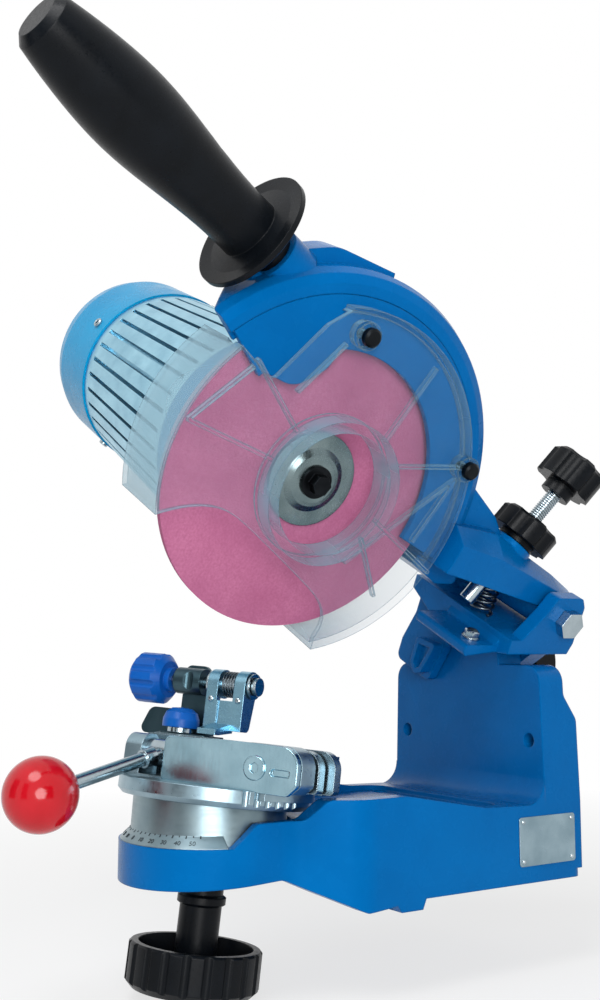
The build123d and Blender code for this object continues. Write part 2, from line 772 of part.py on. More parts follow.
# Apron in front of the column, with the tab that meets the tilt stop
apron_left = -saddle_half_width - 5
apron_bottom = -20
apron_front = plate_end - 5
apron_face = outline([
    (apron_left, apron_bottom, 4),
    (-16, apron_bottom, 4),
    (-11, 3, 4),
    (12, seat_side, 0),
    (-saddle_half_width, seat_side + 4, 0),
    (-saddle_half_width, 10, 4),
    (apron_left, -8, 4),
])
tab_face = outline([
    (-28, 1, 2),
    (-11.5, 4, 2),
    (-17, -15, 2),
    (-22, -18.5, 2),
    (-28, -14, 2),
])
tab_proud = 6
tab = slab_y(tab_face, apron_front - tab_proud, apron_front + 1)
tab = tab - slab_y(offset(tab_face, -3), apron_front - tab_proud - 1, apron_front - tab_proud + 3)
saddle = saddle + slab_y(apron_face, apron_front, plate_end) + tab
rear_plate = outline([
    (-34, seat_side + 2, 0),
    (-12.6, -4, 0),
    (12.6, -4, 0),
    (34, seat_side + 2, 0),
]) + Circle(13)
saddle = saddle + slab_y(rear_plate, plate_start, saddle_back)
saddle = saddle - rod_y(tilt_shaft_radius + running_gap, plate_start - 2, saddle_back + 2)
saddle = saddle - rod_x(hinge_pin_radius, -60, 60, hinge_y, hinge_w)
export_step(tilt_frame * saddle, "parts/tilt_saddle.step")

# Tilt shaft pressed into the column, and its clamping knob at the back
knob_seat = saddle_back + swivel_gap
shaft_end = saddle_back + 16
tilt_axis = Location((0, 0, tilt_axis_height))
tilt_shaft = rod_y(tilt_shaft_radius, shaft_seat, shaft_end)
tilt_knob_hub = 5
tilt_knob = lobed_knob(21, 16, 6, 12, tilt_knob_hub)
tilt_knob = Pos(0, knob_seat + tilt_knob_hub, 0) * Rot(-90, 0, 0) * tilt_knob
tilt_knob = tilt_knob - rod_y(tilt_shaft_radius + running_gap, knob_seat - 1, shaft_end + 1)
export_step(tilt_axis * tilt_shaft, "parts/tilt_shaft.step")
export_step(tilt_axis * tilt_knob, "parts/tilt_knob.step")

# Hinge pin of the chopping arm, with a hexagon head and nut
head_side = saddle_half_width + 0.1
hexagon = RegularPolygon(hinge_pin_radius + 2.5, 6)
hinge_pin = rod_x(hinge_pin_radius, -head_side, head_side)
hinge_pin = hinge_pin + slab_x(hexagon, head_side, head_side + 5)
hinge_pin = hinge_pin + rod_x(hinge_pin_radius, -head_side - 10, -head_side)
hinge_nut = slab_x(hexagon, -head_side - 7.5, -head_side) - rod_x(hinge_pin_radius, -90, 90)
hinge_axis = Location((0, hinge_y, hinge_w))
export_step(tilt_frame * hinge_axis * hinge_pin, "parts/hinge_pin.step")
export_step(tilt_frame * hinge_axis * hinge_nut, "parts/hinge_nut.step")

# Head casting: half drum over the wheel, motor collar and chopping arm
ledge_radius = drum_radius - drum_wall - 4.7
recess_radius = drum_radius - drum_wall


def turned_x(profile):
    # profile is a list of (place along X, radius), turned about X
    return revolve(make_face(Polyline(*profile, close=True)), Axis.X)


drum = turned_x([
    (drum_back, 0),
    (drum_back, drum_radius - 5),
    (drum_back + 3, drum_radius),
    (drum_front - 6, drum_radius),
    (drum_front - 1.6, drum_radius - 2),
    (drum_front, drum_radius - 6),
    (drum_front, recess_radius),
    (drum_front - cover_thickness, recess_radius),
    (drum_front - cover_thickness, ledge_radius),
    (drum_floor, ledge_radius),
    (drum_floor, 0),
])
drum_slice = sector(drum_radius + 10, drum_start_angle, drum_end_angle, drum_back - 1, drum_front + 1)
drum = drum & drum_slice
drum = drum + rod_x(hub_radius, drum_back, drum_floor)
collar_front_radius = hub_radius + 7
drum = drum + cone_x(collar_radius - 3, collar_front_radius, collar_back, drum_back)
handle_lift = slab_x(outline([
    (-64, 64, 6),
    (-46, 86, 10),
    (-34, 95.5, 14),
    (-12, 101, 20),
    (20, 95, 0),
    (20, 82, 0),
    (-40, 62, 0),
]), drum_back + 2, drum_front - 12)
handle_lift = handle_lift - rod_x(ledge_radius, drum_floor, drum_front + 1)
drum = drum + handle_lift


def slanted_end(gap):
    # what lies past the drum's left end, which slants back from the wheel cover
    slant_start = drum_front - cover_thickness - 2
    face = outline([
        (slant_start, gap, 0),
        (drum_back - 1, gap - drum_end_slant, 0),
        (drum_back - 1, 25, 0),
        (slant_start, 25, 0),
    ])
    return Rot(drum_end_angle, 0, 0) * slab_y(face, hub_radius + 9, drum_radius + 15)


drum = drum - slanted_end(0)
handle_plane = Plane(
    origin=(handle_place_s, handle_place_y, handle_place_v),
    z_dir=(0, math.cos(math.radians(handle_angle)), math.sin(math.radians(handle_angle))),
)
handle_boss = handle_plane * rod_z(12, -14, 0)
handle_boss = handle_boss - rod_x(ledge_radius, drum_floor, drum_front + 1)
drum = drum + handle_boss
stud_radius = 5
drum = drum - handle_plane * rod_z(handle_neck_radius + 1.5, 0, 20)
drum = drum - handle_plane * rod_z(stud_radius, -10, 1)
drum = Pos(wheel_s, wheel_y, wheel_w) * drum

arm_ridge = slab_x(outline([
    (-50, 118, 0),
    (-14, 100, 12),
    (5, 86, 8),
    (16, 72, 0),
    (-18, 64, 0),
    (-50, 70, 0),
]), arm_far + 7, 12)
arm_low = [
    (hinge_y + 15, hinge_w + 3),
    (hinge_y - 12, hinge_w + 4),
    (-18, 59),
    (-50, 66),
]
arm_crown = [(-50, 90), (-32, 84), (2, 80), (hinge_y + 2, hinge_w + 17), (hinge_y + 17, hinge_w + 9)]
arm_edge = [
    (-50, 83),
    (-32, 78),
    (2, 80 - arm_slope),
    (hinge_y + 2, hinge_w + 17 - arm_slope * 0.6),
    (hinge_y + 16, hinge_w + 6),
]
crown_face = make_face(Polyline(*arm_crown, *arm_low, close=True))
edge_face = make_face(Polyline(*arm_edge, *arm_low, close=True))
arm_bend = arm_near - arm_slope
arm_body = slab_x(crown_face, arm_far, arm_bend)
arm_lip = loft([Plane.YZ.offset(arm_bend) * crown_face, Plane.YZ.offset(arm_near) * edge_face], ruled=True)
arm_skirt = slab_x(outline([
    (-46, 68, 0),
    (-46, 64, 0),
    (-16, 47, 5),
    (-3, 47, 3),
    (-3, 66, 0),
]), arm_far + 4, depth_s - depth_rod_radius - 2)
arm = arm_body + arm_lip + arm_ridge + arm_skirt
wheel_axis_cut = Pos(wheel_s, wheel_y, wheel_w) * rod_x(recess_radius, drum_back - 0.5, 60)
arm = arm - wheel_axis_cut
barrel = rod_x(barrel_radius, arm_far, cheek_inner - swivel_gap, hinge_y, hinge_w)
depth_plane = Plane(
    origin=(depth_s, depth_tip_y, depth_tip_w),
    z_dir=(0, math.cos(math.radians(depth_angle)), math.sin(math.radians(depth_angle))),
)
depth_lock_hub = 2.5
depth_boss_top = depth_lock_place - depth_lock_hub - sliding_gap
depth_boss = depth_plane * rod_z(10.5, 18, depth_boss_top)
head_casting = drum + arm + barrel + depth_boss
head_casting = head_casting - rod_x(hinge_pin_radius + running_gap, -60, 60, hinge_y, hinge_w)
head_casting = head_casting - depth_plane * rod_z(depth_rod_radius + running_gap, -5, 90)
shaft_bore = Pos(wheel_s, wheel_y, wheel_w) * rod_x(shaft_radius + running_gap, -80, 20)
head_casting = head_casting - shaft_bore
export_step(tilt_frame * head_casting, "parts/head_casting.step")

# Return spring under the arm, standing on the saddle
spring_s = 8
spring_y = saddle_front + 6
spring_wire = 0.8
spring_radius = 5.6
spring_foot = saddle_web_top + spring_wire + 0.1
spring_turns = 4
under_slope = (arm_low[2][1] - arm_low[1][1]) / (arm_low[1][0] - arm_low[2][0])
spring_reach = arm_low[1][0] - spring_y - spring_radius - spring_wire
spring_top = arm_low[1][1] + under_slope * spring_reach - spring_wire - 0.2
spring_length = spring_top - spring_foot
return_spring = coil_spring("return_spring", spring_radius, spring_wire, spring_length, spring_turns)
return_spring = Pos(spring_s, spring_y, spring_foot) * return_spring
export_step(tilt_frame * return_spring, "parts/return_spring.step")

# Motor: tapered finned body, fan cap with a slotted back, fan and shaft
motor_front = collar_back
motor_body = cone_x(motor_back_radius, motor_front_radius, motor_back, motor_front)
slot_floor = motor_back_radius - fin_depth
for k in range(fin_count):
    slot = block(motor_back + 6, motor_front - 6, -fin_slot / 2, fin_slot / 2, slot_floor, 70)
    motor_body = motor_body - Rot(360 / fin_count * k, 0, 0) * slot
motor_body = motor_body - rod_x(shaft_radius + running_gap, motor_back - 1, motor_front + 1)
export_step(wheel_frame * motor_body, "parts/motor_body.step")

cap_front = motor_back
cap_radius = motor_back_radius + 1
cap = turned_x([
    (cap_front, cap_radius),
    (cap_back + 12, cap_radius - 0.8),
    (cap_back + 3, cap_back_radius),
    (cap_back, cap_back_radius - 6),
    (cap_back, 0),
    (cap_back + cap_shell, 0),
    (cap_back + cap_shell, cap_back_radius - 7),
    (cap_back + 5, cap_back_radius - cap_shell),
    (cap_back + 13, cap_radius - 0.8 - cap_shell),
    (cap_front, cap_radius - cap_shell),
])
vent_count = 20
for k in range(vent_count):
    vent = block(cap_back - 2, cap_back + 4, -2, 2, 15, cap_back_radius - 9)
    cap = cap - Rot(360 / vent_count * k, 0, 0) * vent
export_step(wheel_frame * cap, "parts/fan_cap.step")

shaft_back = cap_back + 14
motor_shaft = rod_x(shaft_radius, shaft_back, 5)
screw_core = 3.5
motor_shaft = motor_shaft - rod_x(screw_core, -14, 6)
export_step(wheel_frame * motor_shaft, "parts/motor_shaft.step")

fan_front = motor_back - 8
fan = rod_x(14, shaft_back + 2, fan_front) - rod_x(shaft_radius, cap_back, motor_back)
fan = fan + (rod_x(fan_radius - 4, fan_front - 2.5, fan_front) - rod_x(13, fan_front - 3, fan_front + 1))
blade_count = 9
for k in range(blade_count):
    blade = block(shaft_back + 3, fan_front - 1, -1, 1, 13, fan_radius)
    fan = fan + Rot(360 / blade_count * k, 0, 0) * blade
export_step(wheel_frame * fan, "parts/cooling_fan.step")

# Grinding wheel between two flanges, held by one hexagon screw
half_wheel = wheel_thickness / 2
inner_flange = turned_x([
    (drum_floor + 0.6, shaft_radius),
    (drum_floor + 0.6, 12),
    (drum_floor + 3, flange_radius),
    (-half_wheel, flange_radius),
    (-half_wheel, wheel_bore_radius - running_gap),
    (half_wheel - 0.4, wheel_bore_radius - running_gap),
    (half_wheel - 0.4, shaft_radius),
])
wheel = rod_x(wheel_radius, -half_wheel, half_wheel)
wheel = wheel - rod_x(wheel_bore_radius, -half_wheel - 1, half_wheel + 1)
flange_front = half_wheel + 5
outer_flange = turned_x([
    (half_wheel, shaft_radius + running_gap),
    (half_wheel, flange_radius),
    (half_wheel + 2, flange_radius),
    (half_wheel + 2.6, flange_radius - 7),
    (flange_front - 0.6, 12),
    (flange_front, 10),
    (flange_front, shaft_radius + running_gap),
])
screw_face = flange_front + 0.1
washer = rod_x(7.5, screw_face, screw_face + 1.4)
hub_screw = washer + slab_x(RegularPolygon(4.8, 6), screw_face + 1.4, screw_face + 6)
hub_screw = hub_screw + rod_x(screw_core - 0.05, -12, screw_face)
export_step(wheel_frame * inner_flange, "parts/inner_flange.step")
export_step(wheel_frame * wheel, "parts/grinding_wheel.step")
export_step(wheel_frame * outer_flange, "parts/outer_flange.step")
export_step(wheel_frame * hub_screw, "parts/hub_screw.step")

# Front cover that laps over the wheel rim, with a rounded lobe at the upper left
cover_back = drum_front - cover_thickness
cover = rod_x(recess_radius - 0.2, cover_back, drum_front) - rod_x(cover_opening, 0, drum_front + 1)
lobe = slab_x(outline([
    (-53, 46, 0),
    (-38, 45, 3),
    (-24, 41, 12),
    (-10, 51, 10),
    (-4, 64, 0),
    (-30, 70, 0),
]), cover_back, drum_front)
cover = (cover + lobe) & sector(drum_radius, drum_start_angle + 1, drum_end_angle - 1, 0, 20)
upper_screw = (2, 68.5)
side_screw = (77, 15)
screw_hole = 2.2
for place in (upper_screw, side_screw):
    cover = cover - rod_x(screw_hole, 0, 20, place[0], place[1])
export_step(wheel_frame * cover, "parts/wheel_cover.step")

# Clear guard: face with an S-shaped grinding cut-out, rim walls, ring and ribs
face_back = guard_face - guard_wall
k = guard_radius / 80
s_points = [
    (16, -72), (17.6, -61), (3.6, -46), (-13, -34.3), (-32.5, -21),
    (-47, -13.6), (-59.4, -12.7), (-73, -15.8), (-95, -24),
]
s_curve = Spline(*[(a * k, b * k) for a, b in s_points])
s_close = Polyline(*[(a * k, b * k) for a, b in [(-95, -24), (-95, -110), (16, -110), (16, -72)]])
cut_out = slab_x(make_face(s_curve + s_close), -60, 60)
notch_points = [(-59, 58, 0), (-39, 44, 3), (-19, 70.5, 6), (-9, 78, 0), (-8, 110, 0), (-80, 110, 0)]
notch = slab_x(outline([(a * k, b * k, r) for a, b, r in notch_points]), -60, 60)
rim_back = drum_front + 0.2
cup = rod_x(guard_radius, drum_back, guard_face)
cup = cup - rod_x(guard_radius - guard_wall, drum_back - 1, face_back)
over_drum = sector(guard_radius + 10, drum_start_angle - 1.5, drum_end_angle + 1, drum_back - 5, rim_back)
over_drum = over_drum - slanted_end(1.5)
guard = cup - over_drum
guard = guard - cut_out - notch
for place in (upper_screw, side_screw):
    guard = guard + rod_x(6, rim_back, guard_face + 0.5, place[0], place[1])
ring = rod_x(guard_ring_radius, face_back - 1.5, guard_ring_front)
guard = guard + ring - rod_x(guard_ring_inner, -60, 60)
rib_front = guard_face + guard_rib_height
rib_lines = [
    (-49, 52, -22, 24), (-74, 24, -31, 11), (24, 24, 41, 60), (32, 13, 70, 16),
    (31, -13, 70, -37), (26, -22, 42, -50), (-50, 49, -74, 24), (70, 10, 20, -34),
    (70, 10, 55, -22), (-27, 41, -9, 64),
]
for y0, v0, y1, v1 in rib_lines:
    length = math.hypot(y1 - y0, v1 - v0) * k
    turn = math.degrees(math.atan2(v1 - v0, y1 - y0))
    bar = block(guard_face - 1, rib_front, 0, length, -guard_rib_width / 2, guard_rib_width / 2)
    guard = guard + Pos(0, y0 * k, v0 * k) * Rot(turn, 0, 0) * bar
guard = guard - rod_x(guard_ring_inner, -60, 60)
for place in (upper_screw, side_screw):
    guard = guard - rod_x(screw_hole, -10, 40, place[0], place[1])
export_step(wheel_frame * guard, "parts/clear_guard.step")

screws = None
for place in (upper_screw, side_screw):
    screw = rod_x(guard_screw_radius, guard_face + 0.6, guard_face + 4.2, place[0], place[1])
    screw = chamfer(screw.edges().group_by(Axis.X)[-1], 1)
    screw = screw + rod_x(screw_hole - 0.1, cover_back, guard_face + 1, place[0], place[1])
    screws = screw if screws is None else screws + screw
export_step(wheel_frame * screws, "parts/guard_screws.step")

# Handle: threaded stud, hand guard disc and a barrel-shaped grip
handle_stud = rod_z(stud_radius, -10, handle_flange_place)
handle_neck = rod_z(handle_neck_radius, 0.1, handle_flange_place + 1)
grip_start = handle_flange_place + 5
flange = turned([
    (0, handle_flange_place),
    (handle_flange_radius - 5, handle_flange_place - 1),
    (handle_flange_radius, handle_flange_place + 2),
    (handle_flange_radius, handle_flange_place + 4.5),
    (handle_flange_radius - 6, handle_flange_place + 4),
    (0, grip_start + 1),
])
grip_run = handle_length - grip_start
belly = Spline(
    (grip_end_radius + 1.5, grip_start - 1),
    (grip_belly_radius - 2.5, grip_start + grip_run * 0.3),
    (grip_belly_radius, grip_start + grip_run * 0.58),
    (grip_belly_radius - 2.4, grip_start + grip_run * 0.83),
    (grip_end_radius, handle_length - 3),
)
grip_close = Polyline(
    (grip_end_radius, handle_length - 3),
    (grip_end_radius - 3, handle_length),
    (0, handle_length),
    (0, grip_start - 1),
    (grip_end_radius + 1.5, grip_start - 1),
)
grip = revolve(Plane.XZ * make_face(belly + grip_close), Axis.Z)
handle_grip = handle_neck + flange + grip
handle_grip = handle_grip - rod_z(stud_radius, -20, handle_flange_place)
export_step(wheel_frame * (handle_plane * handle_stud), "parts/handle_stud.step")
export_step(wheel_frame * (handle_plane * handle_grip), "parts/handle_grip.step")

# Depth screw: rod, turning knob and lock knob
depth_rod = rod_z(depth_rod_radius, 0, depth_rod_length)
depth_rod = chamfer(depth_rod.edges().group_by(Axis.Z)[0], 0.8)
depth_knob_hub = 6
depth_knob = Pos(0, 0, depth_knob_place) * lobed_knob(depth_knob_radius, 16, 6, 8, depth_knob_hub)
depth_knob = depth_knob - rod_z(depth_rod_radius, 0, depth_rod_length)
depth_lock = Pos(0, 0, depth_lock_place) * lobed_knob(depth_lock_radius, 12, 6, 10, depth_lock_hub)
depth_lock = depth_lock - rod_z(depth_rod_radius + running_gap, 0, depth_rod_length)
export_step(tilt_frame * (depth_plane * depth_rod), "parts/depth_rod.step")
export_step(tilt_frame * (depth_plane * depth_knob), "parts/depth_knob.step")
export_step(tilt_frame * (depth_plane * depth_lock), "parts/depth_lock_knob.step")

# Rocker switch on the hidden back of the drum, and the cord inlet on the arm
switch_place = Location((drum_back, 56, 53))
switch_box = block(-16, 0, -14, 14, -11, 11)
switch_box = fillet(switch_box.edges().filter_by(Axis.X), 2)
switch_box = switch_box - block(-20, -6, -10, 10, -7, 7)
rocker_pivot = -8
trunnion_radius = 1.2
switch_box = switch_box - Pos(rocker_pivot, 0, 0) * rod_z(trunnion_radius + running_gap, -8.8, 8.8)
rocker_half = 7.6
rocker = slab_z(outline([
    (-6.6, -2, 0),
    (-6.6, 2, 0),
    (-13, rocker_half, 0),
    (-17.6, rocker_half - 0.6, 0),
    (-15.6, 0, 0),
    (-15.6, -rocker_half, 0),
    (-13.4, -rocker_half, 0),
]), -6.6, 6.6)
rocker = rocker + Pos(rocker_pivot, 0, 0) * rod_z(trunnion_radius, -8.6, 8.6)
export_step(wheel_frame * switch_place * switch_box, "parts/switch_box.step")
export_step(wheel_frame * switch_place * rocker, "parts/switch_rocker.step")
inlet = Location((arm_far, 4, 71))
gland = rod_x(8, -16, 0) + slab_x(RegularPolygon(10, 6), -7, 0)
gland = gland - rod_x(4, -20, -3)
export_step(tilt_frame * inlet * gland, "parts/cord_inlet.step")
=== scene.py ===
# %% [markdown]
# A bench chain sharpener, dressed for its portrait. The rigid shapes come from the
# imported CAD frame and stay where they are. This lesson sets the camera and the light,
# gives every node the finish of its real material, and adds the small things that a
# casting drawing leaves out: a screw thread, scale marks, screw heads, rivets, a
# polished face on the vise and a blank plate.

# %% Load the frame
import math
import bpy
import bmesh
from mathutils import Matrix, Vector


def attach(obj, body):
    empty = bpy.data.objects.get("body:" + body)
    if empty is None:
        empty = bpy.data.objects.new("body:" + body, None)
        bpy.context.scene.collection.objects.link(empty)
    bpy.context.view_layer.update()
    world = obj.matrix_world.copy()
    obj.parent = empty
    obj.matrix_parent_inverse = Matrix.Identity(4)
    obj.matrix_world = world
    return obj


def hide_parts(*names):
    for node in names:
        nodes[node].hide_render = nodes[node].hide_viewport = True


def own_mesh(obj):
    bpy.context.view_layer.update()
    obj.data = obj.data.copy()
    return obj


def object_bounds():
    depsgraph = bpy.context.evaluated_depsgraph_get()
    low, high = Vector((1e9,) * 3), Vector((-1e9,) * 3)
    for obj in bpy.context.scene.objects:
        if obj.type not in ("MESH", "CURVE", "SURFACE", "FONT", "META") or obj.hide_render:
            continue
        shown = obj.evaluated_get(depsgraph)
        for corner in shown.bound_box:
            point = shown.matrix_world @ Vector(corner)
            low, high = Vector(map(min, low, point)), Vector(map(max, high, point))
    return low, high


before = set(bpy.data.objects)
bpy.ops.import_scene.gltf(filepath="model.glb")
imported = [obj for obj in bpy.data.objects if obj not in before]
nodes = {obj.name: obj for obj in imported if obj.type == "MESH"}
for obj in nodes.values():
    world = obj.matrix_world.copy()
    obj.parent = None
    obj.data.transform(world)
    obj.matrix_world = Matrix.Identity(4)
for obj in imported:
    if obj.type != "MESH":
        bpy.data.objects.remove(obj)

cad_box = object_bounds()

# %% [markdown]
# The camera repeats the photograph: it stands to the right of the vise and a little
# below the wheel, and looks slightly upwards. It could be set by eye, but its place and
# turn were fitted, so that the solids fall on the photograph. A focal length of 1.2
# picture heights gives the mild perspective of a lens some sixty centimetres away.

# %% Camera
MM = 0.001
camera_place = Vector((490.9, -404.0, 112.6)) * MM
camera_azimuth = math.radians(56.53)
camera_rise = math.radians(6.93)
sensor_mm = 36
focal_in_heights = 1.2
back = Vector((
    math.sin(camera_azimuth) * math.cos(camera_rise),
    -math.cos(camera_azimuth) * math.cos(camera_rise),
    -math.sin(camera_rise),
))
right = Vector((math.cos(camera_azimuth), math.sin(camera_azimuth), 0))
camera_data = bpy.data.cameras.new("portrait_camera")
camera_data.sensor_width = sensor_mm
camera_data.lens = sensor_mm * focal_in_heights
camera_data.clip_start = 0.01
camera = bpy.data.objects.new("portrait_camera", camera_data)
bpy.context.scene.collection.objects.link(camera)
turn = Matrix((right, back.cross(right), back)).transposed()
camera.matrix_world = Matrix.Translation(camera_place) @ turn.to_4x4()
bpy.context.scene.camera = camera
bpy.context.scene.view_settings.view_transform = "Standard"
print("camera at", [round(c, 3) for c in camera_place])

# %% [markdown]
# Two small helpers carry every material. One turns an sRGB hex colour into the linear
# numbers that shaders want. The other adds a node, sets its fields, its inputs and the
# stops of its colour ramp, and links it; it builds the Geometry Nodes trees further
# down too. A third starts a material with a shader, an output and Object coordinates,
# so that a pattern stays on its piece when the piece moves.


# %% Helpers for colours and nodes
def paint(code):
    def channel(v):
        return v / 12.92 if v <= 0.04045 else ((v + 0.055) / 1.055) ** 2.4
    return tuple(channel(int(code[k:k + 2], 16) / 255) for k in (1, 3, 5)) + (1.0,)


def add(tree, kind, links=None, inputs=None, stops=(), **fields):
    made = tree.nodes.new(kind)
    for name, value in fields.items():
        setattr(made, name, value)
    for name, value in (inputs or {}).items():
        made.inputs[name].default_value = value
    for name, sources in (links or {}).items():
        for source in sources if isinstance(sources, list) else [sources]:
            tree.links.new(source, made.inputs[name])
    for k, (position, code) in enumerate(stops):
        made.color_ramp.elements[k].position = position
        made.color_ramp.elements[k].color = paint(code)
    return made


def new_material(name):
    material = bpy.data.materials.new(name)
    material.use_nodes = True
    tree = material.node_tree
    tree.nodes.clear()
    shader = add(tree, "ShaderNodeBsdfPrincipled")
    add(tree, "ShaderNodeOutputMaterial", {"Surface": shader.outputs["BSDF"]})
    place = add(tree, "ShaderNodeTexCoord").outputs["Object"]
    return material, tree, shader, place


noise = "ShaderNodeTexNoise"
maths = "ShaderNodeMath"
print("helpers ready")

# %% [markdown]
# Paint, bare metal and moulded plastic share one recipe. Soft clouds shift the colour
# between two near tones, a finer grain varies the gloss and dents the surface, and a
# bevel node rounds the edges for the light without touching the shape. Pictures of real
# surfaces would need unwrapped meshes. Noise needs none, and its size can be given in
# millimetres.

# %% Sizes of a pattern
# nearly all of a noise lies between these two values
noise_low = 0.3
noise_high = 0.7


def grain_scale(size_mm):
    # one noise feature is about one unit of texture space
    return 1000.0 / size_mm


print("a grain of 2 mm has scale", grain_scale(2))


# %% Recipe for opaque surfaces
def coat(name, tones, cloud_mm, grain_mm, detail, rough, depth_mm, push, edge_mm,
         stretch=(1, 1, 1), patch_mm=None):
    # tones and rough are pairs; glossy patches of their own size are used where given
    material, tree, shader, place = new_material(name)
    clouds = add(tree, noise, {"Vector": place}, {"Scale": grain_scale(cloud_mm), "Detail": 3.0})
    tone = add(
        tree, "ShaderNodeValToRGB", {"Fac": clouds.outputs["Fac"]},
        stops=((noise_low, tones[0]), (noise_high, tones[1])),
    )
    drawn = add(tree, "ShaderNodeMapping", {"Vector": place}, {"Scale": stretch})
    grain = add(
        tree, noise, {"Vector": drawn.outputs["Vector"]},
        {"Scale": grain_scale(grain_mm), "Detail": detail},
    )
    patches = grain
    if patch_mm:
        patches = add(
            tree, noise, {"Vector": place}, {"Scale": grain_scale(patch_mm), "Detail": 3.0},
        )
    gloss = add(
        tree, "ShaderNodeMapRange", {"Value": patches.outputs["Fac"]},
        {"From Min": noise_low, "From Max": noise_high, "To Min": rough[0], "To Max": rough[1]},
    )
    edge = add(tree, "ShaderNodeBevel", None, {"Radius": edge_mm * MM}, samples=6)
    skin = add(
        tree, "ShaderNodeBump",
        {"Height": grain.outputs["Fac"], "Normal": edge.outputs["Normal"]},
        {"Distance": depth_mm * MM, "Strength": push},
    )
    tree.links.new(tone.outputs["Color"], shader.inputs["Base Color"])
    tree.links.new(gloss.outputs["Result"], shader.inputs["Roughness"])
    tree.links.new(skin.outputs["Normal"], shader.inputs["Normal"])
    return material, shader.inputs


print("recipe ready")

# %% [markdown]
# Blue enamel on an aluminium sand casting. The paint is thick and glossy, so it rounds
# the corners and dries with a faint orange peel of about two millimetres. A white studio
# would wash it out, so its mirror image is weak and tinted, and the blue stays deep.


# %% Enamel finishes
def enamel(name, tones, gloss, shine, peel_mm=2.2):
    material, sockets = coat(
        name, tones, cloud_mm=38.0, grain_mm=peel_mm, detail=3.0, patch_mm=9.0,
        rough=(gloss - 0.05, gloss + 0.06), depth_mm=0.05, push=0.5, edge_mm=1.1,
    )
    sockets["IOR"].default_value = 1.5
    sockets["Specular IOR Level"].default_value = 0.2
    sockets["Specular Tint"].default_value = paint(shine)
    return material


blue_enamel = enamel("blue_casting_enamel", ("#005A9B", "#0062A5"), 0.26, "#49A6E6")
cap_enamel = enamel("cyan_cap_enamel", ("#008ABE", "#0895C8"), 0.28, "#7CC8F0", 1.6)
print("enamels:", blue_enamel.name, cap_enamel.name)

# %% [markdown]
# Bare metals. Die-cast aluminium is matt and a little cloudy, the wedge was turned and
# keeps fine rings, and the motor's fins were drawn along their length. Zinc plate is
# bright and uneven, polished and ground steel have fine scratches one way, phosphated
# flanges are darker, and blackened steel reflects only weakly. A stretch of the noise
# along one axis draws the scratches.


# %% Metal finishes
def bare_metal(name, tones, rough, grain_mm, depth_mm, stretch=(1, 1, 1), wear=0.05):
    material, sockets = coat(
        name, tones, cloud_mm=12.0, grain_mm=grain_mm, detail=4.0, stretch=stretch,
        rough=(rough - wear, rough + wear), depth_mm=depth_mm, push=0.5, edge_mm=0.5,
    )
    sockets["Metallic"].default_value = 1.0
    return material


along_x = (0.2, 1, 1)
along_y = (1, 0.15, 1)
along_z = (1, 1, 0.1)
rings = (0.05, 0.05, 1)
cast_aluminium = bare_metal("die_cast_aluminium", ("#8299A4", "#98AEB8"), 0.32, 1.4, 0.03)
turned_aluminium = bare_metal(
    "turned_aluminium", ("#74878F", "#87999F"), 0.36, 0.9, 0.012, rings, 0.04,
)
motor_aluminium = bare_metal(
    "extruded_aluminium", ("#86B6CB", "#A0CFE1"), 0.36, 1.2, 0.04, along_x,
)
bright_steel = bare_metal("zinc_plated_steel", ("#98A6AD", "#B4C1C7"), 0.2, 0.8, 0.015)
polished_steel = bare_metal(
    "polished_steel", ("#8AABB8", "#9DBDC9"), 0.17, 0.8, 0.004, along_z, 0.03,
)
ground_steel = bare_metal(
    "ground_jaw_steel", ("#7C919B", "#90A4AD"), 0.28, 0.7, 0.002, along_y,
)
flange_steel = bare_metal("phosphated_flange_steel", ("#66777A", "#839395"), 0.24, 0.8, 0.012)
pawl_steel = bare_metal("zinc_pawl_steel", ("#7CA8BE", "#8DB8CB"), 0.3, 0.9, 0.002)
bracket_steel = bare_metal("dark_bracket_steel", ("#364C55", "#445A63"), 0.36, 0.9, 0.002)
black_steel = bare_metal("blackened_steel", ("#15171A", "#24272A"), 0.4, 0.8, 0.015)
spring_steel = bare_metal("spring_steel", ("#565F65", "#79838A"), 0.3, 0.6, 0.01)
print("metals:", cast_aluminium.name, bright_steel.name, ground_steel.name)

# %% [markdown]
# Moulded plastics. The grip and the star knobs are black glass-filled nylon with a
# fine spark-eroded grain, the ball is polished red phenolic, and the two small stop
# knobs are blue. The inks of the scale and of the switch are dull and nearly even.


# %% Plastic finishes
def moulded(name, tones, rough, grain_mm, depth_mm, shine):
    material, sockets = coat(
        name, tones, cloud_mm=14.0, grain_mm=grain_mm, detail=2.0,
        rough=(rough - 0.05, rough + 0.07), depth_mm=depth_mm, push=0.6, edge_mm=0.7,
    )
    sockets["IOR"].default_value = 1.5
    sockets["Specular IOR Level"].default_value = shine
    return material


black_nylon = moulded("black_moulded_nylon", ("#06090D", "#0B0F14"), 0.32, 0.9, 0.04, 0.13)
red_phenolic = moulded("red_phenolic", ("#AE0C19", "#BA1421"), 0.12, 2.0, 0.01, 0.35)
blue_knob_plastic = moulded(
    "blue_moulded_plastic", ("#084FA2", "#0C5AAE"), 0.32, 1.0, 0.03, 0.2,
)
mark_ink = moulded("engraved_mark_ink", ("#2B3338", "#3A444A"), 0.6, 0.8, 0.01, 0.2)
white_ink = moulded("white_mark_ink", ("#D5D8D8", "#E4E6E6"), 0.5, 0.8, 0.01, 0.3)
print("plastics:", black_nylon.name, red_phenolic.name, blue_knob_plastic.name)

# %% [markdown]
# The wheel is pink aluminium oxide grit in a vitrified bond. Grit of about half a
# millimetre shows as speckle and as a rough skin; it is drawn coarser here, at about
# a millimetre, so that it still shows in the picture.

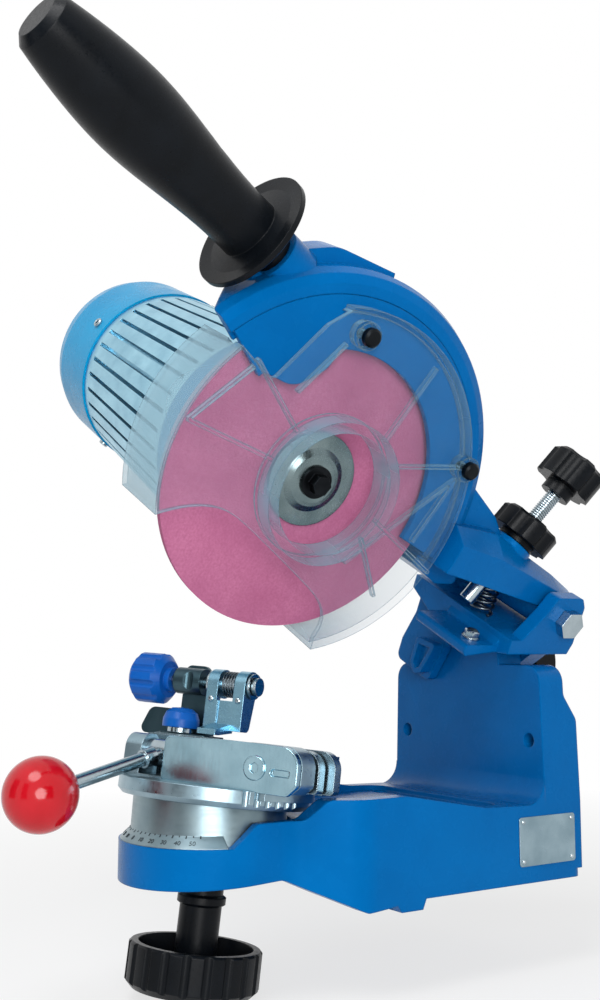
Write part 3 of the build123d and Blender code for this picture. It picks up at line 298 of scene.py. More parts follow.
# %% Abrasive finish
grit_mm = 1.1
grit_depth_mm = 0.25
pink_grit, tree, shader, place = new_material("vitrified_pink_abrasive")
speck = add(tree, noise, {"Vector": place}, {"Scale": grain_scale(grit_mm), "Detail": 2.0})
cloud = add(tree, noise, {"Vector": place}, {"Scale": grain_scale(22.0), "Detail": 3.0})
mixed = add(
    tree, maths, {0: speck.outputs["Fac"], 1: cloud.outputs["Fac"]}, {2: 0.25},
    operation="MULTIPLY_ADD",
)
tone = add(
    tree, "ShaderNodeValToRGB", {"Fac": mixed.outputs["Value"]},
    stops=((noise_low, "#A2577B"), (noise_high, "#BA7092")),
)
skin = add(
    tree, "ShaderNodeBump", {"Height": speck.outputs["Fac"]},
    {"Distance": grit_depth_mm * MM, "Strength": 0.7},
)
tree.links.new(tone.outputs["Color"], shader.inputs["Base Color"])
tree.links.new(skin.outputs["Normal"], shader.inputs["Normal"])
shader.inputs["Roughness"].default_value = 0.9
shader.inputs["Specular IOR Level"].default_value = 0.2
print("abrasive:", pink_grit.name)

# %% [markdown]
# The guard is clear polycarbonate, moulded thin. It could be glass that bends light, but
# a sheet of two and a half millimetres hardly does, and refraction drew black rims that
# the real guard doesn't have. So it is a faint pale skin that lets most of the view
# through. Two things make the skin denser: looking along the sheet, and an edge. Light
# that is caught in a clear sheet leaves it at the edges, so ribs, rings and rims show
# as lines; here these lines are painted light and shade, a denser skin whose tone turns
# to a darker blue-grey at each edge. An edge is found by a bevel node: near one, the
# rounded normal leaves the true normal.

# %% Clear finish
clear_plastic, tree, shader, place = new_material("clear_polycarbonate")
clouds = add(tree, noise, {"Vector": place}, {"Scale": grain_scale(16.0), "Detail": 3.0})
haze = add(
    tree, "ShaderNodeMapRange", {"Value": clouds.outputs["Fac"]},
    {"From Min": noise_low, "From Max": noise_high, "To Min": 0.08, "To Max": 0.15},
)
slant = add(tree, "ShaderNodeLayerWeight", None, {"Blend": 0.5})
skin = add(
    tree, "ShaderNodeMapRange", {"Value": slant.outputs["Facing"]},
    {"From Min": 0.27, "From Max": 0.6, "To Min": 0.05, "To Max": 0.6},
    interpolation_type="SMOOTHSTEP",
)
rounded_edge = add(tree, "ShaderNodeBevel", None, {"Radius": 1.1 * MM}, samples=8)
surface = add(tree, "ShaderNodeNewGeometry")
likeness = add(tree, "ShaderNodeVectorMath", {
    0: rounded_edge.outputs["Normal"], 1: surface.outputs["True Normal"],
}, operation="DOT_PRODUCT")
# painted edge lines: near an edge the skin grows denser, painted light and shade
painted_edge_line = add(
    tree, "ShaderNodeMapRange", {"Value": likeness.outputs["Value"]},
    {"From Min": 0.99, "From Max": 0.8, "To Min": 0.0, "To Max": 0.8},
)
dense = add(tree, maths, {
    0: skin.outputs["Result"], 1: painted_edge_line.outputs["Result"],
}, operation="MAXIMUM")
# the tone turns from pale to a darker blue-grey at the edges: painted shade
tone = add(
    tree, "ShaderNodeValToRGB", {"Fac": painted_edge_line.outputs["Result"]},
    stops=((0.3, "#86AFC0"), (0.7, "#4F6C7E")),
)
tree.links.new(haze.outputs["Result"], shader.inputs["Roughness"])
tree.links.new(dense.outputs["Value"], shader.inputs["Alpha"])
tree.links.new(tone.outputs["Color"], shader.inputs["Base Color"])
shader.inputs["IOR"].default_value = 1.5
print("clear:", clear_plastic.name)

# %% [markdown]
# Each CAD node now takes the finish of its real material. A node keeps its mesh; only
# the material slot changes. A table from finish to nodes is shorter than a line for
# each node, and the print at its end would name a node that was forgotten.

# %% Dress the CAD nodes
finish_of = {
    blue_enamel: ("base_casting", "tilt_saddle", "head_casting", "wheel_cover"),
    cap_enamel: ("fan_cap",),
    cast_aluminium: ("vise_body",),
    turned_aluminium: ("swivel_wedge",),
    motor_aluminium: ("motor_body",),
    ground_steel: ("fixed_jaw", "moving_jaw"),
    pawl_steel: ("chain_pawl",),
    bracket_steel: ("stop_bracket",),
    bright_steel: (
        "tilt_shaft", "pivot_bolt", "jaw_guide_pins", "clamp_shaft", "lever_rod",
        "stop_sleeve", "stop_screw", "stop_lock_stud", "lock_washer", "hinge_pin",
        "hinge_nut", "handle_stud", "motor_shaft", "depth_rod",
    ),
    flange_steel: ("inner_flange", "outer_flange"),
    spring_steel: ("pawl_spring", "return_spring"),
    black_steel: ("guard_screws", "hub_screw"),
    black_nylon: (
        "lock_knob", "tilt_knob", "handle_grip", "switch_box", "switch_rocker",
        "cord_inlet", "cooling_fan", "depth_knob", "depth_lock_knob",
    ),
    red_phenolic: ("lever_ball",),
    blue_knob_plastic: ("stop_knob", "stop_lock_knob"),
    pink_grit: ("grinding_wheel",),
    clear_plastic: ("clear_guard",),
}
dressed = set()
for material, names in finish_of.items():
    for name in names:
        mesh = nodes[name].data
        mesh.materials.clear()
        mesh.materials.append(material)
        dressed.add(name)
print("dressed", len(dressed), "nodes; left:", sorted(set(nodes) - dressed))

# %% [markdown]
# The head, the vise and the depth screw each lean their own way. A frame is a matrix
# with its origin and its leaning axes, so that a small piece can be modelled upright
# and then laid where the CAD has it.


# %% Frames of the leaning groups
def leaning(origin_mm, along, upward):
    x_axis = Vector(along).normalized()
    z_axis = Vector(upward).normalized()
    turn = Matrix((x_axis, z_axis.cross(x_axis), z_axis)).transposed()
    return Matrix.Translation(Vector(origin_mm) * MM) @ turn.to_4x4()


head_tilt = math.radians(26.5)
swivel_lean = math.radians(7.5)
swivel_turn = math.radians(28)
depth_lean = math.radians(58)
tilt_axis_height = 104.25
wheel_center = (8, -108.5, 97)
depth_tip = (12, 2, 41.3)
pad_center = -129.0
pad_top = 27.0
vise_seat_height = 42.0
tilt_frame = leaning(
    (0, 0, tilt_axis_height),
    (math.cos(head_tilt), 0, -math.sin(head_tilt)),
    (math.sin(head_tilt), 0, math.cos(head_tilt)),
)
wheel_frame = tilt_frame @ Matrix.Translation(Vector(wheel_center) * MM)
swivel_y = pad_center + math.tan(swivel_lean) * (vise_seat_height - pad_top)
swivel_up = (0, math.sin(swivel_lean), math.cos(swivel_lean))
swivel_frame = leaning((0, swivel_y, vise_seat_height), (1, 0, 0), swivel_up)
vise_frame = swivel_frame @ Matrix.Rotation(swivel_turn, 4, "Z")
depth_up = (0, math.cos(depth_lean), math.sin(depth_lean))
depth_frame = tilt_frame @ leaning(depth_tip, (1, 0, 0), depth_up)
print("wheel centre", [round(c * 1000, 1) for c in wheel_frame.translation])

# %% [markdown]
# What repeats is grown by Geometry Nodes. A tree is made in code with named inputs, its
# last two nodes turn the copies into real faces and give them their finish, and the
# result is turned into a plain mesh at once, because the export drops live copies.


# %% Geometry Nodes helpers
def new_tree(name, **sizes):
    tree = bpy.data.node_groups.new(name, "GeometryNodeTree")
    socket = tree.interface.new_socket
    socket("Geometry", in_out="INPUT", socket_type="NodeSocketGeometry")
    for label, kind in sizes.items():
        socket(label, in_out="INPUT", socket_type="NodeSocket" + kind)
    socket("finish", in_out="INPUT", socket_type="NodeSocketMaterial")
    socket("Geometry", in_out="OUTPUT", socket_type="NodeSocketGeometry")
    return tree, add(tree, "NodeGroupInput").outputs


def close_tree(tree, geometry, finish):
    solid = add(tree, "GeometryNodeRealizeInstances", {"Geometry": geometry})
    coated = add(tree, "GeometryNodeSetMaterial", {
        "Geometry": solid.outputs["Geometry"], "Material": finish,
    })
    add(tree, "NodeGroupOutput", {"Geometry": coated.outputs["Geometry"]})


def linked_piece(name, mesh):
    piece = bpy.data.objects.new(name, mesh)
    bpy.context.scene.collection.objects.link(piece)
    return piece


def frozen(piece):
    # the evaluated shape as a plain mesh with outward faces and no modifiers
    graph = bpy.context.evaluated_depsgraph_get()
    mesh = bpy.data.meshes.new_from_object(piece.evaluated_get(graph))
    shape = bmesh.new()
    shape.from_mesh(mesh)
    bmesh.ops.recalc_face_normals(shape, faces=shape.faces)
    shape.to_mesh(mesh)
    shape.free()
    piece.modifiers.clear()
    piece.data = mesh
    mesh.name = piece.name
    return piece


def grow(name, tree, values, seed=None):
    piece = linked_piece(name, seed or bpy.data.meshes.new(name))
    modifier = piece.modifiers.new("grow", "NODES")
    modifier.node_group = tree
    for item in tree.interface.items_tree:
        if item.in_out == "INPUT" and item.name in values:
            modifier[item.identifier] = values[item.name]
    return frozen(piece)


def settle(piece, where, body, finish=None):
    piece.data.transform(where)
    if finish:
        piece.data.materials.clear()
        piece.data.materials.append(finish)
    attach(piece, body)
    print(piece.name, "rides", body, "with", len(piece.data.polygons), "faces")


print("growing tools ready")

# %% [markdown]
# The depth screw is an M8 rod: plain and shiny at the tip that lands on the saddle, and
# threaded above. A screw modifier could turn a profile round; a tree keeps the pitch and
# the sizes as inputs. The thread is a spiral swept with a small diamond, round a thinner
# core, so its crest stays inside the plain rod's size.

# %% Tree of the screw thread
thread_tree, given = new_tree(
    "screw_thread", rod_radius="Float", core_radius="Float", pitch="Float",
    thread_start="Float", length="Float",
)
run = add(thread_tree, maths, {
    0: given["length"], 1: given["thread_start"],
}, operation="SUBTRACT").outputs["Value"]
thread_depth = add(thread_tree, maths, {
    0: given["rod_radius"], 1: given["core_radius"],
}, operation="SUBTRACT").outputs["Value"]
half_depth = add(
    thread_tree, maths, {0: thread_depth}, {1: 0.5}, operation="MULTIPLY",
).outputs["Value"]
mean_radius = add(
    thread_tree, maths, {0: given["core_radius"], 1: half_depth}, operation="ADD",
).outputs["Value"]
rounds = add(
    thread_tree, maths, {0: run, 1: given["pitch"]}, operation="DIVIDE",
).outputs["Value"]
spiral = add(thread_tree, "GeometryNodeCurveSpiral", {
    "Rotations": rounds, "Start Radius": mean_radius, "End Radius": mean_radius, "Height": run,
}, {"Resolution": 20})
upright = add(
    thread_tree, "GeometryNodeSetCurveNormal", {"Curve": spiral.outputs["Curve"]}, mode="Z_UP",
)
diamond = add(
    thread_tree, "GeometryNodeCurvePrimitiveCircle", {"Radius": half_depth}, {"Resolution": 4},
)
ridge = add(thread_tree, "GeometryNodeCurveToMesh", {
    "Curve": upright.outputs["Curve"], "Profile Curve": diamond.outputs["Curve"],
}, {"Fill Caps": True})
middle_of_tip = add(
    thread_tree, maths, {0: given["thread_start"]}, {1: 0.5}, operation="MULTIPLY",
).outputs["Value"]
middle_of_run = add(
    thread_tree, maths, {0: run, 2: given["thread_start"]}, {1: 0.5}, operation="MULTIPLY_ADD",
).outputs["Value"]
print("thread tree has", len(thread_tree.nodes), "nodes so far")

# %% Depth screw with its thread
solids = [(ridge, given["thread_start"])]
for radius, tall, middle in (
    (given["rod_radius"], given["thread_start"], middle_of_tip),
    (given["core_radius"], run, middle_of_run),
):
    sizes = {"Radius": radius, "Depth": tall}
    bar = add(thread_tree, "GeometryNodeMeshCylinder", sizes, {"Vertices": 40})
    solids.append((bar, middle))
raised = []
for solid, height in solids:
    lift = add(thread_tree, "ShaderNodeCombineXYZ", {"Z": height})
    raised.append(add(thread_tree, "GeometryNodeTransform", {
        "Geometry": solid.outputs["Mesh"], "Translation": lift.outputs["Vector"],
    }).outputs["Geometry"])
joined = add(thread_tree, "GeometryNodeJoinGeometry", {"Geometry": raised})
close_tree(thread_tree, joined.outputs["Geometry"], given["finish"])
threaded_rod = grow("threaded_depth_rod", thread_tree, {
    "rod_radius": 3.98 * MM, "core_radius": 3.32 * MM, "pitch": 1.25 * MM,
    "thread_start": 17 * MM, "length": 92 * MM, "finish": bright_steel,
})
settle(threaded_rod, depth_frame, "depth_rod")
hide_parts("depth_rod")

# %% [markdown]
# The return spring stands on the saddle, and the arm presses it as the head comes down.
# A copy of the coil stands in for the node and rides with the saddle. It stays rigid, so
# the arm can cut through it.

# %% Return spring on the saddle
coil = nodes["return_spring"]
coil_mesh = coil.data.copy()
coil_mesh.transform(coil.matrix_world)
pressed_spring = linked_piece("pressed_return_spring", coil_mesh)
settle(pressed_spring, Matrix(), "saddle", spring_steel)
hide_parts("return_spring")
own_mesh(pressed_spring)

# %% [markdown]
# The turned ledge in front of the vise carries the degree scale that sets the grinding
# angle. Painted marks would blur from near, so they are short bars on a cone: one tree
# places a bar at every five degrees and lets every second one run longer. Points at
# even angles on a circle are needed again for screws, so they have a function.


# %% Points on a ring
def points_on_ring(tree, given):
    # the points, their angles and their numbers
    line = add(tree, "GeometryNodeMeshLine", {"Count": given["count"]}, {"Offset": (0, 0, 0)})
    number = add(tree, "GeometryNodeInputIndex").outputs["Index"]
    angle = add(tree, maths, {
        0: number, 1: given["step"], 2: given["first"],
    }, operation="MULTIPLY_ADD").outputs["Value"]
    spot = add(tree, "ShaderNodeCombineXYZ")
    for axis, kind in (("X", "COSINE"), ("Y", "SINE")):
        share = add(tree, maths, {0: angle}, operation=kind)
        across = add(tree, maths, {
            0: share.outputs["Value"], 1: given["radius"],
        }, operation="MULTIPLY")
        tree.links.new(across.outputs["Value"], spot.inputs[axis])
    points = add(tree, "GeometryNodeSetPosition", {
        "Geometry": line.outputs["Mesh"], "Position": spot.outputs["Vector"],
    })
    return points.outputs["Geometry"], angle, number


print("ring tool ready")

# %% Tree of the scale marks
mark_tree, given = new_tree(
    "scale_marks", count="Int", first="Float", step="Float", radius="Float",
    slope="Float", bar="Vector", long_every="Float",
)
points, angle, number = points_on_ring(mark_tree, given)
bar = add(mark_tree, "GeometryNodeMeshCube", {"Size": given["bar"]})
turn = add(mark_tree, "ShaderNodeCombineXYZ", {"Y": given["slope"], "Z": angle})
odd = add(mark_tree, maths, {0: number, 1: given["long_every"]}, operation="MODULO")
is_long = add(
    mark_tree, maths, {0: odd.outputs["Value"]}, {1: 0.0, 2: 0.1}, operation="COMPARE",
)
# a short bar is 0.6 of a long one
share = add(
    mark_tree, maths, {0: is_long.outputs["Value"]}, {1: 0.4, 2: 0.6}, operation="MULTIPLY_ADD",
)
reach = add(mark_tree, "ShaderNodeCombineXYZ", {"X": share.outputs["Value"]}, {"Y": 1, "Z": 1})
bars = add(mark_tree, "GeometryNodeInstanceOnPoints", {
    "Points": points, "Instance": bar.outputs["Mesh"],
    "Rotation": turn.outputs["Vector"], "Scale": reach.outputs["Vector"],
})
close_tree(mark_tree, bars.outputs["Instances"], given["finish"])
print("mark tree has", len(mark_tree.nodes), "nodes")

# %% Swivel scale marks
ledge_top = (33.0, 34.5)
ledge_foot = (40.4, pad_top)
ledge_slope = math.atan2(ledge_top[1] - ledge_foot[1], ledge_foot[0] - ledge_top[0])


def on_ledge(radius):
    # height of the scale ledge's slope at a radius
    return ledge_top[1] - (radius - ledge_top[0]) * math.tan(ledge_slope)


mark_radius = 35.4
scale_marks = grow("swivel_scale_marks", mark_tree, {
    "count": 23, "first": math.radians(-145), "step": math.radians(5),
    "radius": mark_radius * MM, "slope": ledge_slope,
    "bar": Vector((3.2, 0.55, 0.2)) * MM, "long_every": 2.0, "finish": mark_ink,
})
ledge_axis = Matrix.Translation(Vector((0, pad_center, on_ledge(mark_radius))) * MM)
settle(scale_marks, ledge_axis, "base")

# %% [markdown]
# The degree numbers are text from Blender's own plain font. Each is cut to a thin mesh,
# turned to lie on the slope, and joined with the rest into one piece.

# %% Swivel scale numbers
number_radius = 38.3
shape = bmesh.new()
for step in range(-5, 6):
    text = bpy.data.curves.new("scale_number", "FONT")
    text.body = str(abs(step) * 10)
    text.size = 3.0 * MM
    text.align_x = "CENTER"
    text.align_y = "CENTER"
    text.extrude = 0.12 * MM
    writing = linked_piece("scale_number", text)
    graph = bpy.context.evaluated_depsgraph_get()
    mesh = bpy.data.meshes.new_from_object(writing.evaluated_get(graph))
    around = math.radians(-90 + 10 * step)
    outward = Vector((math.cos(around), math.sin(around), 0))
    face = outward * math.sin(ledge_slope) + Vector((0, 0, math.cos(ledge_slope)))
    along = Vector((-math.sin(around), math.cos(around), 0))
    place_mm = Vector((0, pad_center, on_ledge(number_radius))) + outward * number_radius
    mesh.transform(leaning(place_mm, along, face))
    shape.from_mesh(mesh)
    bpy.data.objects.remove(writing)
numbers_mesh = bpy.data.meshes.new("swivel_scale_numbers")
shape.to_mesh(numbers_mesh)
shape.free()
scale_numbers = linked_piece("swivel_scale_numbers", numbers_mesh)
settle(scale_numbers, Matrix(), "base", mark_ink)

# %% [markdown]
# Small fasteners are turned shapes: rings of points joined by faces. A hexagon is only
# a ring whose radius changes with the angle, so a socket or a hexagon head comes from
# the same function as a rivet.


# %% Turned shapes
def turned(name, rings, sides=24, hollow=False):
    # rings are (radius in mm or a function of the angle, height in mm)
    shape = bmesh.new()
    loops = []
    for radius, height in rings:
        loop = []
        for k in range(sides):
            angle = 2 * math.pi * k / sides
            reach = radius(angle) if callable(radius) else radius
            loop.append(shape.verts.new(
                Vector((reach * math.cos(angle), reach * math.sin(angle), height)) * MM
            ))
        loops.append(loop)
    if hollow:
        loops.append(loops[0])
    for lower, upper in zip(loops, loops[1:]):
        for k in range(sides):
            nxt = (k + 1) % sides
            shape.faces.new((lower[k], lower[nxt], upper[nxt], upper[k]))
    if not hollow:
        shape.faces.new(loops[0][::-1])
        shape.faces.new(loops[-1])
    bmesh.ops.recalc_face_normals(shape, faces=shape.faces)
    mesh = bpy.data.meshes.new(name)
    shape.to_mesh(mesh)
    shape.free()
    return mesh


def hexagon(flats):
    def reach(angle):
        return flats / 2 / math.cos((angle + math.pi / 6) % (math.pi / 3) - math.pi / 6)
    return reach


def rivet(radius, height):
    return turned("rivet", [
        (radius, -0.3), (radius, height * 0.25), (radius * 0.86, height * 0.62),
        (radius * 0.55, height * 0.9), (radius * 0.15, height),
    ], 20)


def socket_screw(radius, height, flats):
    return turned("socket_screw", [
        (radius, -0.4), (radius, height - 0.5), (radius - 0.5, height),
        (hexagon(flats), height), (hexagon(flats), height - 1.6),
    ])


print("turned shapes ready")

# %% [markdown]
# The fan cap is held on the motor by four small screws set in from the side, so a ring
# tree stands a screw at even angles, each with its head facing outwards.

# %% Fan cap screws
ring_tree, given = new_tree(
    "ring_of_screws", count="Int", first="Float", step="Float", radius="Float",
)
points, angle = points_on_ring(ring_tree, given)[:2]
turn = add(ring_tree, "ShaderNodeCombineXYZ", {"Z": angle}, {"Y": math.pi / 2})
screws = add(ring_tree, "GeometryNodeInstanceOnPoints", {
    "Points": points, "Instance": given["Geometry"], "Rotation": turn.outputs["Vector"],
})
close_tree(ring_tree, screws.outputs["Instances"], given["finish"])
cap_radius = 47.6
cap_screw_place = -166
cap_screws = grow("fan_cap_screws", ring_tree, {
    "count": 4, "first": math.radians(60), "step": math.radians(90),
    "radius": cap_radius * MM, "finish": bright_steel,
}, socket_screw(2.6, 1.8, 2.4))
cap_axis = wheel_frame @ leaning((cap_screw_place, 0, 0), (0, 1, 0), (1, 0, 0))
settle(cap_screws, cap_axis, "head")

# %% [markdown]
# A grid tree sets rivets: four at the corners of the blank plate on the base, and two
# beside each other on the pawl.

# %% Rivets
grid_tree, given = new_tree(
    "grid_of_rivets", wide="Float", tall="Float", columns="Int", rows="Int",
)
grid = add(grid_tree, "GeometryNodeMeshGrid", {
    "Size X": given["wide"], "Size Y": given["tall"],
    "Vertices X": given["columns"], "Vertices Y": given["rows"],
})
rivets = add(grid_tree, "GeometryNodeInstanceOnPoints", {
    "Points": grid.outputs["Mesh"], "Instance": given["Geometry"],
})
close_tree(grid_tree, rivets.outputs["Instances"], given["finish"])
plate_center = (58.5, 25.5, 19.5)
plate_frame = leaning(plate_center, (0, 1, 0), (1, 0, 0))
plate_rivets = grow("blank_plate_rivets", grid_tree, {
    "wide": 32 * MM, "tall": 18.5 * MM, "columns": 2, "rows": 2, "finish": bright_steel,
}, rivet(1.3, 1.5))
settle(plate_rivets, plate_frame, "base")
pawl_face = vise_frame @ leaning((-9.4, 14, 46.5), (1, 0, 0), (0, -1, 0))
pawl_rivets = grow("pawl_rivets", grid_tree, {
    "wide": 15.2 * MM, "tall": 0.0, "columns": 2, "rows": 1, "finish": bright_steel,
}, rivet(1.6, 1.0))
settle(pawl_rivets, pawl_face, "pawl")

# %% [markdown]
# Flat plates are outlines with rounded corners, pushed out to a thickness. A cube with a
# bevel would round all its corners alike; an outline gives each its own radius. The blank
# plate is a thin sheet of bare aluminium, riveted to the side of the base.


# %% Plates
def rounded(corners, steps=6):
    # corners are (across, up, radius); an arc of short runs replaces each corner
    points = []
    for k, (across, up, radius) in enumerate(corners):
        here = Vector((across, up))
        before = (Vector(corners[k - 1][:2]) - here).normalized()
        after = (Vector(corners[(k + 1) % len(corners)][:2]) - here).normalized()
        if not radius:
            points.append(here)
            continue
        half = before.angle(after) / 2
        middle = here + (before + after).normalized() * (radius / math.sin(half))
        start = here + before * (radius / math.tan(half)) - middle
        finish = here + after * (radius / math.tan(half)) - middle
        sweep = start.angle_signed(finish)
        for j in range(steps + 1):
            points.append(middle + Matrix.Rotation(-sweep * j / steps, 2) @ start)
    return points


def plate(name, corners, low, high):
    # outline in the local XY plane, between two heights along local Z
    shape = bmesh.new()
    rim = rounded(corners)
    ends = []
    for height in (low, high):
        ends.append([shape.verts.new((p.x * MM, p.y * MM, height * MM)) for p in rim])
    shape.faces.new(ends[0][::-1])
    shape.faces.new(ends[1])
    for k in range(len(rim)):
        nxt = (k + 1) % len(rim)
        shape.faces.new((ends[0][k], ends[0][nxt], ends[1][nxt], ends[1][k]))
    bmesh.ops.recalc_face_normals(shape, faces=shape.faces)
    mesh = bpy.data.meshes.new(name)
    shape.to_mesh(mesh)
    shape.free()
    return mesh


def soften(piece, width_mm):
    edge = piece.modifiers.new("soften", "BEVEL")
    edge.width = width_mm * MM
    edge.segments = 2
    edge.limit_method = "ANGLE"
    edge.angle_limit = math.radians(40)


blank_plate = linked_piece("blank_plate", plate("blank_plate", [
    (-18.5, -11.5, 1.5), (18.5, -11.5, 1.5), (18.5, 11.5, 1.5), (-18.5, 11.5, 1.5),
], -0.2, 0.7))
soften(blank_plate, 0.2)
settle(frozen(blank_plate), plate_frame, "base", cast_aluminium)

# %% [markdown]
# The front of the vise is one polished face that covers the clamp shaft. It is a plate
# with a large round corner, thinned behind so that the eccentric can turn, with a slot
# and a round boss. The thin part and the slot are cut by boolean modifiers, which read
# more plainly than faces that are set by hand.

# %% Polished face of the vise
face_frame = vise_frame @ leaning((0, 0, 0), (1, 0, 0), (0, -1, 0))
front_face = linked_piece("vise_front_face", plate("vise_front_face", [
    (-13.6, 7.6, 2), (51, 7.6, 3), (55.4, 12, 3),
    (55.4, 28.4, 9), (20, 28.4, 0), (-13.6, 27, 3),
], 21.75, 25.3))
cuts = [
    plate("eccentric_room", [
        (-20, 0, 0), (27.8, 0, 0), (27.8, 40, 0), (-20, 40, 0),
    ], 20, 23.9),
    plate("face_slot", [
        (42.4, 15.5, 1.3), (51.4, 15.5, 1.3), (51.4, 18.3, 1.3), (42.4, 18.3, 1.3),
    ], 24, 27),
]
cutters = [linked_piece(mesh.name, mesh) for mesh in cuts]
for cutter in cutters:
    cut = front_face.modifiers.new("cut", "BOOLEAN")
    cut.operation = "DIFFERENCE"
    cut.solver = "EXACT"
    cut.object = cutter
soften(front_face, 0.5)
frozen(front_face)
for cutter in cutters:
    bpy.data.objects.remove(cutter)
settle(front_face, face_frame, "vise", polished_steel)
face_boss = linked_piece("vise_face_boss", turned("vise_face_boss", [
    (5.4, -0.5), (5.4, 0.5), (4.9, 0.9), (hexagon(4), 0.9), (hexagon(4), -0.3),
], 36))
boss_place = face_frame @ Matrix.Translation(Vector((34.4, 18, 25.3)) * MM)
settle(face_boss, boss_place, "vise", polished_steel)

# %% [markdown]
# One hexagon screw with a washer stands on the saddle's ledge. It is turned in one go, a
# round washer, then a hexagon, then a small chamfer, so head and washer are one mesh.

# %% Saddle screw
saddle_screw = linked_piece("saddle_screw", turned("saddle_screw", [
    (4.6, -0.4), (4.6, 1.0), (hexagon(7), 1.0), (hexagon(7), 3.6), (2.9, 4.3),
], 36))
saddle_top = tilt_frame @ Matrix.Translation(Vector((24, 1, 26)) * MM)
settle(saddle_screw, saddle_top, "saddle", bright_steel)

# %% [markdown]
# The rocker switch carries the two common signs for on and off: a bar and a ring. Colour
# in the rocker's material would need a mask. Two thin solids stay sharp in any view, and
# the export keeps them as meshes.

# %% Switch signs
switch_frame = wheel_frame @ Matrix.Translation(Vector((-21, 56, 53)) * MM)
off_ring = linked_piece("switch_off_ring", turned("switch_off_ring", [
    (2.3, -0.1), (2.3, 0.12), (1.6, 0.12), (1.6, -0.1),
], 28, hollow=True))
off_place = switch_frame @ leaning((-15.6, -3.9, 0), (0, 1, 0), (-1, 0, 0))
settle(off_ring, off_place, "rocker", white_ink)
on_bar = linked_piece("switch_on_bar", plate("switch_on_bar", [
    (-0.4, -2.3, 0.2), (0.4, -2.3, 0.2), (0.4, 2.3, 0.2), (-0.4, 2.3, 0.2),
], -0.1, 0.12))
on_place = switch_frame @ leaning((-16.6, 3.5, 0), (-2, 7, 0), (-7, -2, 0))
settle(on_bar, on_place, "rocker", white_ink)

# %% [markdown]
# The studio floor lies just under the lowest knob. It shows the eye mostly its own
# white, more so further out, so that no horizon shows, and it keeps the object's
# shadow. Rays that light the object see it as plain pale paint.


# %% Floor
def rays_that_see(tree):
    # 1 for rays that reach the eye straight, by a mirror or through glass
    path = add(tree, "ShaderNodeLightPath").outputs
    seen = path["Is Camera Ray"]
    for kind in ("Is Glossy Ray", "Is Transmission Ray"):
        seen = add(tree, maths, {0: seen, 1: path[kind]}, operation="MAXIMUM").outputs["Value"]
    return seen


floor_gap = 0.5
floor_height = cad_box[0][2] - floor_gap * MM
floor_reach = 6.0
floor_mesh = bpy.data.meshes.new("studio_floor")
floor_mesh.from_pydata(
    [(-floor_reach, -floor_reach, floor_height), (floor_reach, -floor_reach, floor_height),
     (floor_reach, floor_reach, floor_height), (-floor_reach, floor_reach, floor_height)],
    [], [(0, 1, 2, 3)],
)
floor = linked_piece("studio_floor", floor_mesh)
floor_paint, tree, shader, place = new_material("pale_studio_floor")
shader.inputs["Base Color"].default_value = paint("#F0F0F0")
shader.inputs["Roughness"].default_value = 0.9
shader.inputs["Specular IOR Level"].default_value = 0.0
white = add(tree, "ShaderNodeEmission", None, {"Strength": 1.0})
away = add(tree, "ShaderNodeVectorMath", {0: place}, operation="LENGTH")
whiter = add(
    tree, "ShaderNodeMapRange", {"Value": away.outputs["Value"]},
    {"From Min": 0.25, "From Max": 0.75, "To Min": 0.7, "To Max": 1.0},
)
share = add(
    tree, maths, {0: rays_that_see(tree), 1: whiter.outputs["Result"]}, operation="MULTIPLY",
)
both = add(tree, "ShaderNodeMixShader", {
    "Fac": share.outputs["Value"], 1: shader.outputs["BSDF"], 2: white.outputs["Emission"],
})
output = next(n for n in tree.nodes if n.type == "OUTPUT_MATERIAL")
tree.links.new(both.outputs["Shader"], output.inputs["Surface"])
floor_mesh.materials.append(floor_paint)
print("floor at", round(floor_height * 1000, 1), "mm")

# %% [markdown]
# The surround is white to the eye, to mirrors and through glass. A picture of a studio
# could stand in for it, but a plain white is enough here. As a source of light it is
# weaker, so that the lamps still model the shapes.

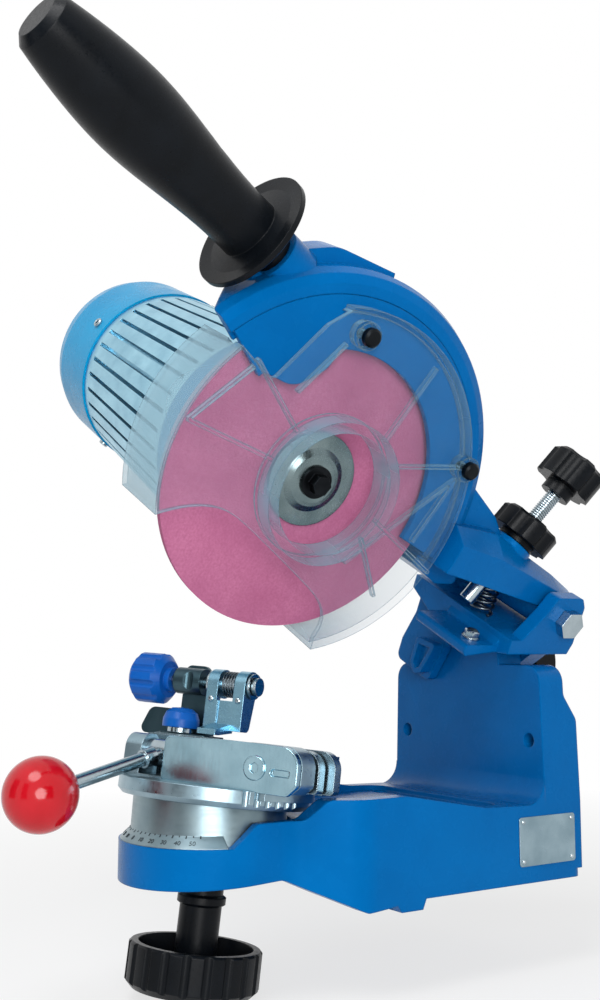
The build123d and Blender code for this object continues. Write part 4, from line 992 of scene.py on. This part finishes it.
# %% Surround
world = bpy.data.worlds.new("studio_surround")
bpy.context.scene.world = world
world.use_nodes = True
tree = world.node_tree
tree.nodes.clear()
strength = add(
    tree, "ShaderNodeMapRange", {"Value": rays_that_see(tree)}, {"To Min": 0.36, "To Max": 1.0},
)
surround = add(
    tree, "ShaderNodeBackground", {"Strength": strength.outputs["Result"]}, {"Color": (1, 1, 1, 1)},
)
add(tree, "ShaderNodeOutputWorld", {"Surface": surround.outputs["Background"]})
print("surround:", world.name)

# %% [markdown]
# One large soft lamp stands over the operator's shoulder. A lower one beside the camera
# reaches the column under the head, which is bright in the photograph too.


# %% Lamps
def soft_lamp(name, place_mm, aim_mm, size, power):
    data = bpy.data.lights.new(name, "AREA")
    data.shape = "DISK"
    data.size = size
    data.energy = power
    lamp = bpy.data.objects.new(name, data)
    bpy.context.scene.collection.objects.link(lamp)
    place = Vector(place_mm) * MM
    aim = (Vector(aim_mm) * MM - place).to_track_quat("-Z", "Y")
    lamp.matrix_world = Matrix.Translation(place) @ aim.to_matrix().to_4x4()
    return lamp


soft_lamp("key_lamp", (350, -700, 1100), (0, -60, 120), 0.7, 8.5)
soft_lamp("fill_lamp", (950, -560, 220), (0, -30, 110), 0.6, 8)
print("lamps:", len(bpy.data.lights))

# %% [markdown]
# Bare metal in an all-white room looks flat, so three dark cards stand round the
# object. The eye doesn't see them, but they draw dark bands into the vise, the motor
# and the knobs.

# %% Dark cards
card_cloth = new_material("dark_studio_card")[0]
card_shader = card_cloth.node_tree.nodes["Principled BSDF"]
card_shader.inputs["Base Color"].default_value = paint("#101214")
card_shader.inputs["Roughness"].default_value = 0.9
card_radius = 1.15
for bearing, width in ((-108, 0.22), (-74, 0.16), (-8, 0.3)):
    outward = Vector((math.cos(math.radians(bearing)), math.sin(math.radians(bearing)), 0))
    side = Vector((-outward.y, outward.x, 0)) * width
    foot = outward * card_radius
    foot.z = floor_height
    top = Vector((0, 0, 0.75))
    card_mesh = bpy.data.meshes.new("dark_card")
    card_mesh.from_pydata(
        [foot - side, foot + side, foot + side + top, foot - side + top], [], [(0, 1, 2, 3)],
    )
    card_mesh.materials.append(card_cloth)
    card = linked_piece("dark_card", card_mesh)
    card.visible_camera = False
